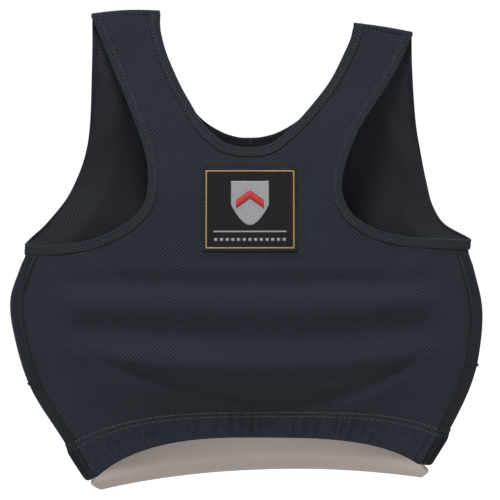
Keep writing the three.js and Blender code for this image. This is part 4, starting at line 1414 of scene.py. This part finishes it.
def woven_band(name, strips, material, lift=YARN_LIFT):
    """Raised satin weave on the label: each strip is a grid of (u, v) places on it."""
    piece = piece_from(
        name, [on_label(s[..., 0], s[..., 1], lift)[:, ::-1] for s in strips],
        [s[:, ::-1] * MM for s in strips],
    )
    give_thickness(piece, YARN_THICKNESS)
    piece.data.materials.append(material)
    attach(piece, "garment")
    return piece


def between(low, high, columns=24):
    """Strip between two polylines of equal length, resampled to a number of columns."""
    low, high = np.array(low, float), np.array(high, float)
    at = np.linspace(0, len(low) - 1, columns)
    lower = np.stack([np.interp(at, np.arange(len(low)), low[:, k]) for k in (0, 1)], -1)
    upper = np.stack([np.interp(at, np.arange(len(high)), high[:, k]) for k in (0, 1)], -1)
    return np.stack([lower, upper])


FRAME_U, FRAME_LOW, FRAME_HIGH, FRAME_LINE = 35.2, 2.3, 64.6, 1.1
gold_yarn = thread_material("gold yarn", GOLD)
white_yarn = thread_material("white yarn", WHITE_YARN)
red_yarn = thread_material("red yarn", RED_YARN)
frame_out = np.array([
    (-FRAME_U, FRAME_LOW), (FRAME_U, FRAME_LOW), (FRAME_U, FRAME_HIGH), (-FRAME_U, FRAME_HIGH),
    (-FRAME_U, FRAME_LOW),
])
frame_in = frame_out - np.sign(frame_out - (0, 30)) * FRAME_LINE
frame_strips = [between(frame_in[i:i + 2], frame_out[i:i + 2], 40)[::-1] for i in range(4)]
woven_band("label_gold_border", frame_strips, gold_yarn)

SHIELD_TOP, SHIELD_HALF, SHIELD_FOOT = 56.0, 15.0, 21.0
shield_v = np.linspace(SHIELD_FOOT, SHIELD_TOP, 30)
shield_half = SHIELD_HALF * np.clip((shield_v - SHIELD_FOOT) / 16.0, 0.02, 1) ** 0.55
shield_grid = np.stack([
    shield_half[:, None] * np.linspace(-1, 1, 24)[None, :],
    shield_v[:, None] + 0 * np.linspace(-1, 1, 24)[None, :],
], -1)
woven_band("label_white_shield", [shield_grid], white_yarn)
chevron = between([(-11, 34), (0, 42), (11, 34)], [(-11, 41), (0, 49), (11, 41)], 25)
woven_band("label_red_chevron", [chevron], red_yarn, CHEVRON_LIFT)
bars = [between([(-29, 15.2), (29, 15.2)], [(-29, 16.4), (29, 16.4)], 40)]
bars += [
    between([(c - 1.3, 8.2), (c + 1.3, 8.2)], [(c - 1.3, 10.6), (c + 1.3, 10.6)], 4)
    for c in np.linspace(-27, 27, 13)
]
woven_band("label_white_dashes", bars, white_yarn)

label_edge = np.array([(-1, 0), (1, 0), (1, 1), (-1, 1), (-1, 0)], float)
edge_u = label_edge[:, 0] * (LABEL_WIDTH / 2 - 1.0)
edge_v = 1.0 + label_edge[:, 1] * (LABEL_HEIGHT - 2.0)
label_rows = []
for i in range(4):
    uu, vv = np.linspace(edge_u[i], edge_u[i + 1], 40), np.linspace(edge_v[i], edge_v[i + 1], 40)
    label_rows.append((on_label(uu, vv, 0.45), np.tile(BACKWARDS, (40, 1))))
label_stitches = stitches("label_edge_stitch", label_rows, 2.0, 2.6)
label_stitches.data.materials.append(thread)
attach(label_stitches, "garment")

# ---------------------------------------------------------------------------------------------
# The stage: a pale floor well below the garment and a white sky. A soft lamp stands high above
# the camera with a weak one low behind it, and two more light the front.
# ---------------------------------------------------------------------------------------------
CAMERA_DISTANCE = 0.998
CAMERA_HEIGHT = 0.128
CAMERA_PITCH = math.radians(3.7)
CAMERA_LENS = 90.0
FLOOR_HALF, FLOOR_Z = 15, -0.4

scene = bpy.context.scene
scene.view_settings.view_transform = "Standard"
floor_mesh = bpy.data.meshes.new("floor")
floor_corners = [
    (x * FLOOR_HALF, y * FLOOR_HALF, FLOOR_Z) for x, y in ((-1, -1), (1, -1), (1, 1), (-1, 1))
]
floor_mesh.from_pydata(floor_corners, [], [(0, 1, 2, 3)])
floor = bpy.data.objects.new("floor", floor_mesh)
scene.collection.objects.link(floor)
floor_material = bpy.data.materials.new("pale floor")
floor_material.use_nodes = True
floor_surface = floor_material.node_tree.nodes["Principled BSDF"]
floor_surface.inputs["Base Color"].default_value = (0.6, 0.6, 0.6, 1)
floor_surface.inputs["Roughness"].default_value = 0.9
floor_surface.inputs["Emission Color"].default_value = (1, 1, 1, 1)
floor_seen = floor_material.node_tree.nodes.new("ShaderNodeLightPath")
floor_seen.label, floor_seen.location = "paper lit white", (-300, 0)
floor_material.node_tree.links.new(
    floor_seen.outputs["Is Camera Ray"], floor_surface.inputs["Emission Strength"]
)
floor_mesh.materials.append(floor_material)

SKY_LIGHT = 0.26
sky = bpy.data.worlds.new("white studio")
sky.use_nodes = True
sky_nodes, sky_links = sky.node_tree.nodes, sky.node_tree.links
sky_background = sky_nodes["Background"]
sky_background.inputs["Color"].default_value = (1, 1, 1, 1)
seen = sky_nodes.new("ShaderNodeLightPath")
brightness = sky_nodes.new("ShaderNodeMapRange")
seen.label, seen.location = "seen directly", (-600, 0)
brightness.label, brightness.location = "white backdrop, softer light", (-300, 0)
brightness.inputs["To Min"].default_value = SKY_LIGHT
brightness.inputs["To Max"].default_value = 1.05
sky_links.new(seen.outputs["Is Camera Ray"], brightness.inputs["Value"])
sky_links.new(brightness.outputs["Result"], sky_background.inputs["Strength"])
scene.world = sky


def add_lamp(name, place, target, size, power):
    """A square lamp of a size in metres and a power in watts, turned to face its target."""
    light = bpy.data.lights.new(name, "AREA")
    light.shape = "SQUARE"
    light.size = size
    light.energy = power
    lamp = bpy.data.objects.new(name, light)
    lamp.location = place
    way = np.array(target, float) - np.array(place, float)
    lamp.rotation_euler = Vector(way).to_track_quat("-Z", "Y").to_euler()
    scene.collection.objects.link(lamp)


add_lamp("key", (0.2, 1.0, 1.65), (0, 0, 0.10), 0.5, 22)
add_lamp("low fill", (0.0, 1.7, -0.1), (0, 0, 0.05), 0.6, 3.5)
add_lamp("front key", (-0.7, -1.3, 1.4), (0, 0, 0.2), 0.7, 26)
add_lamp("front fill", (0.9, -1.3, 0.4), (0, 0, 0.2), 0.9, 7)

camera = bpy.data.objects.new("camera", bpy.data.cameras.new("camera"))
camera.data.lens = CAMERA_LENS
camera.location = (0, CAMERA_DISTANCE, CAMERA_HEIGHT)
camera.rotation_euler = (math.pi / 2 + CAMERA_PITCH, 0, math.pi)
scene.collection.objects.link(camera)
scene.camera = camera
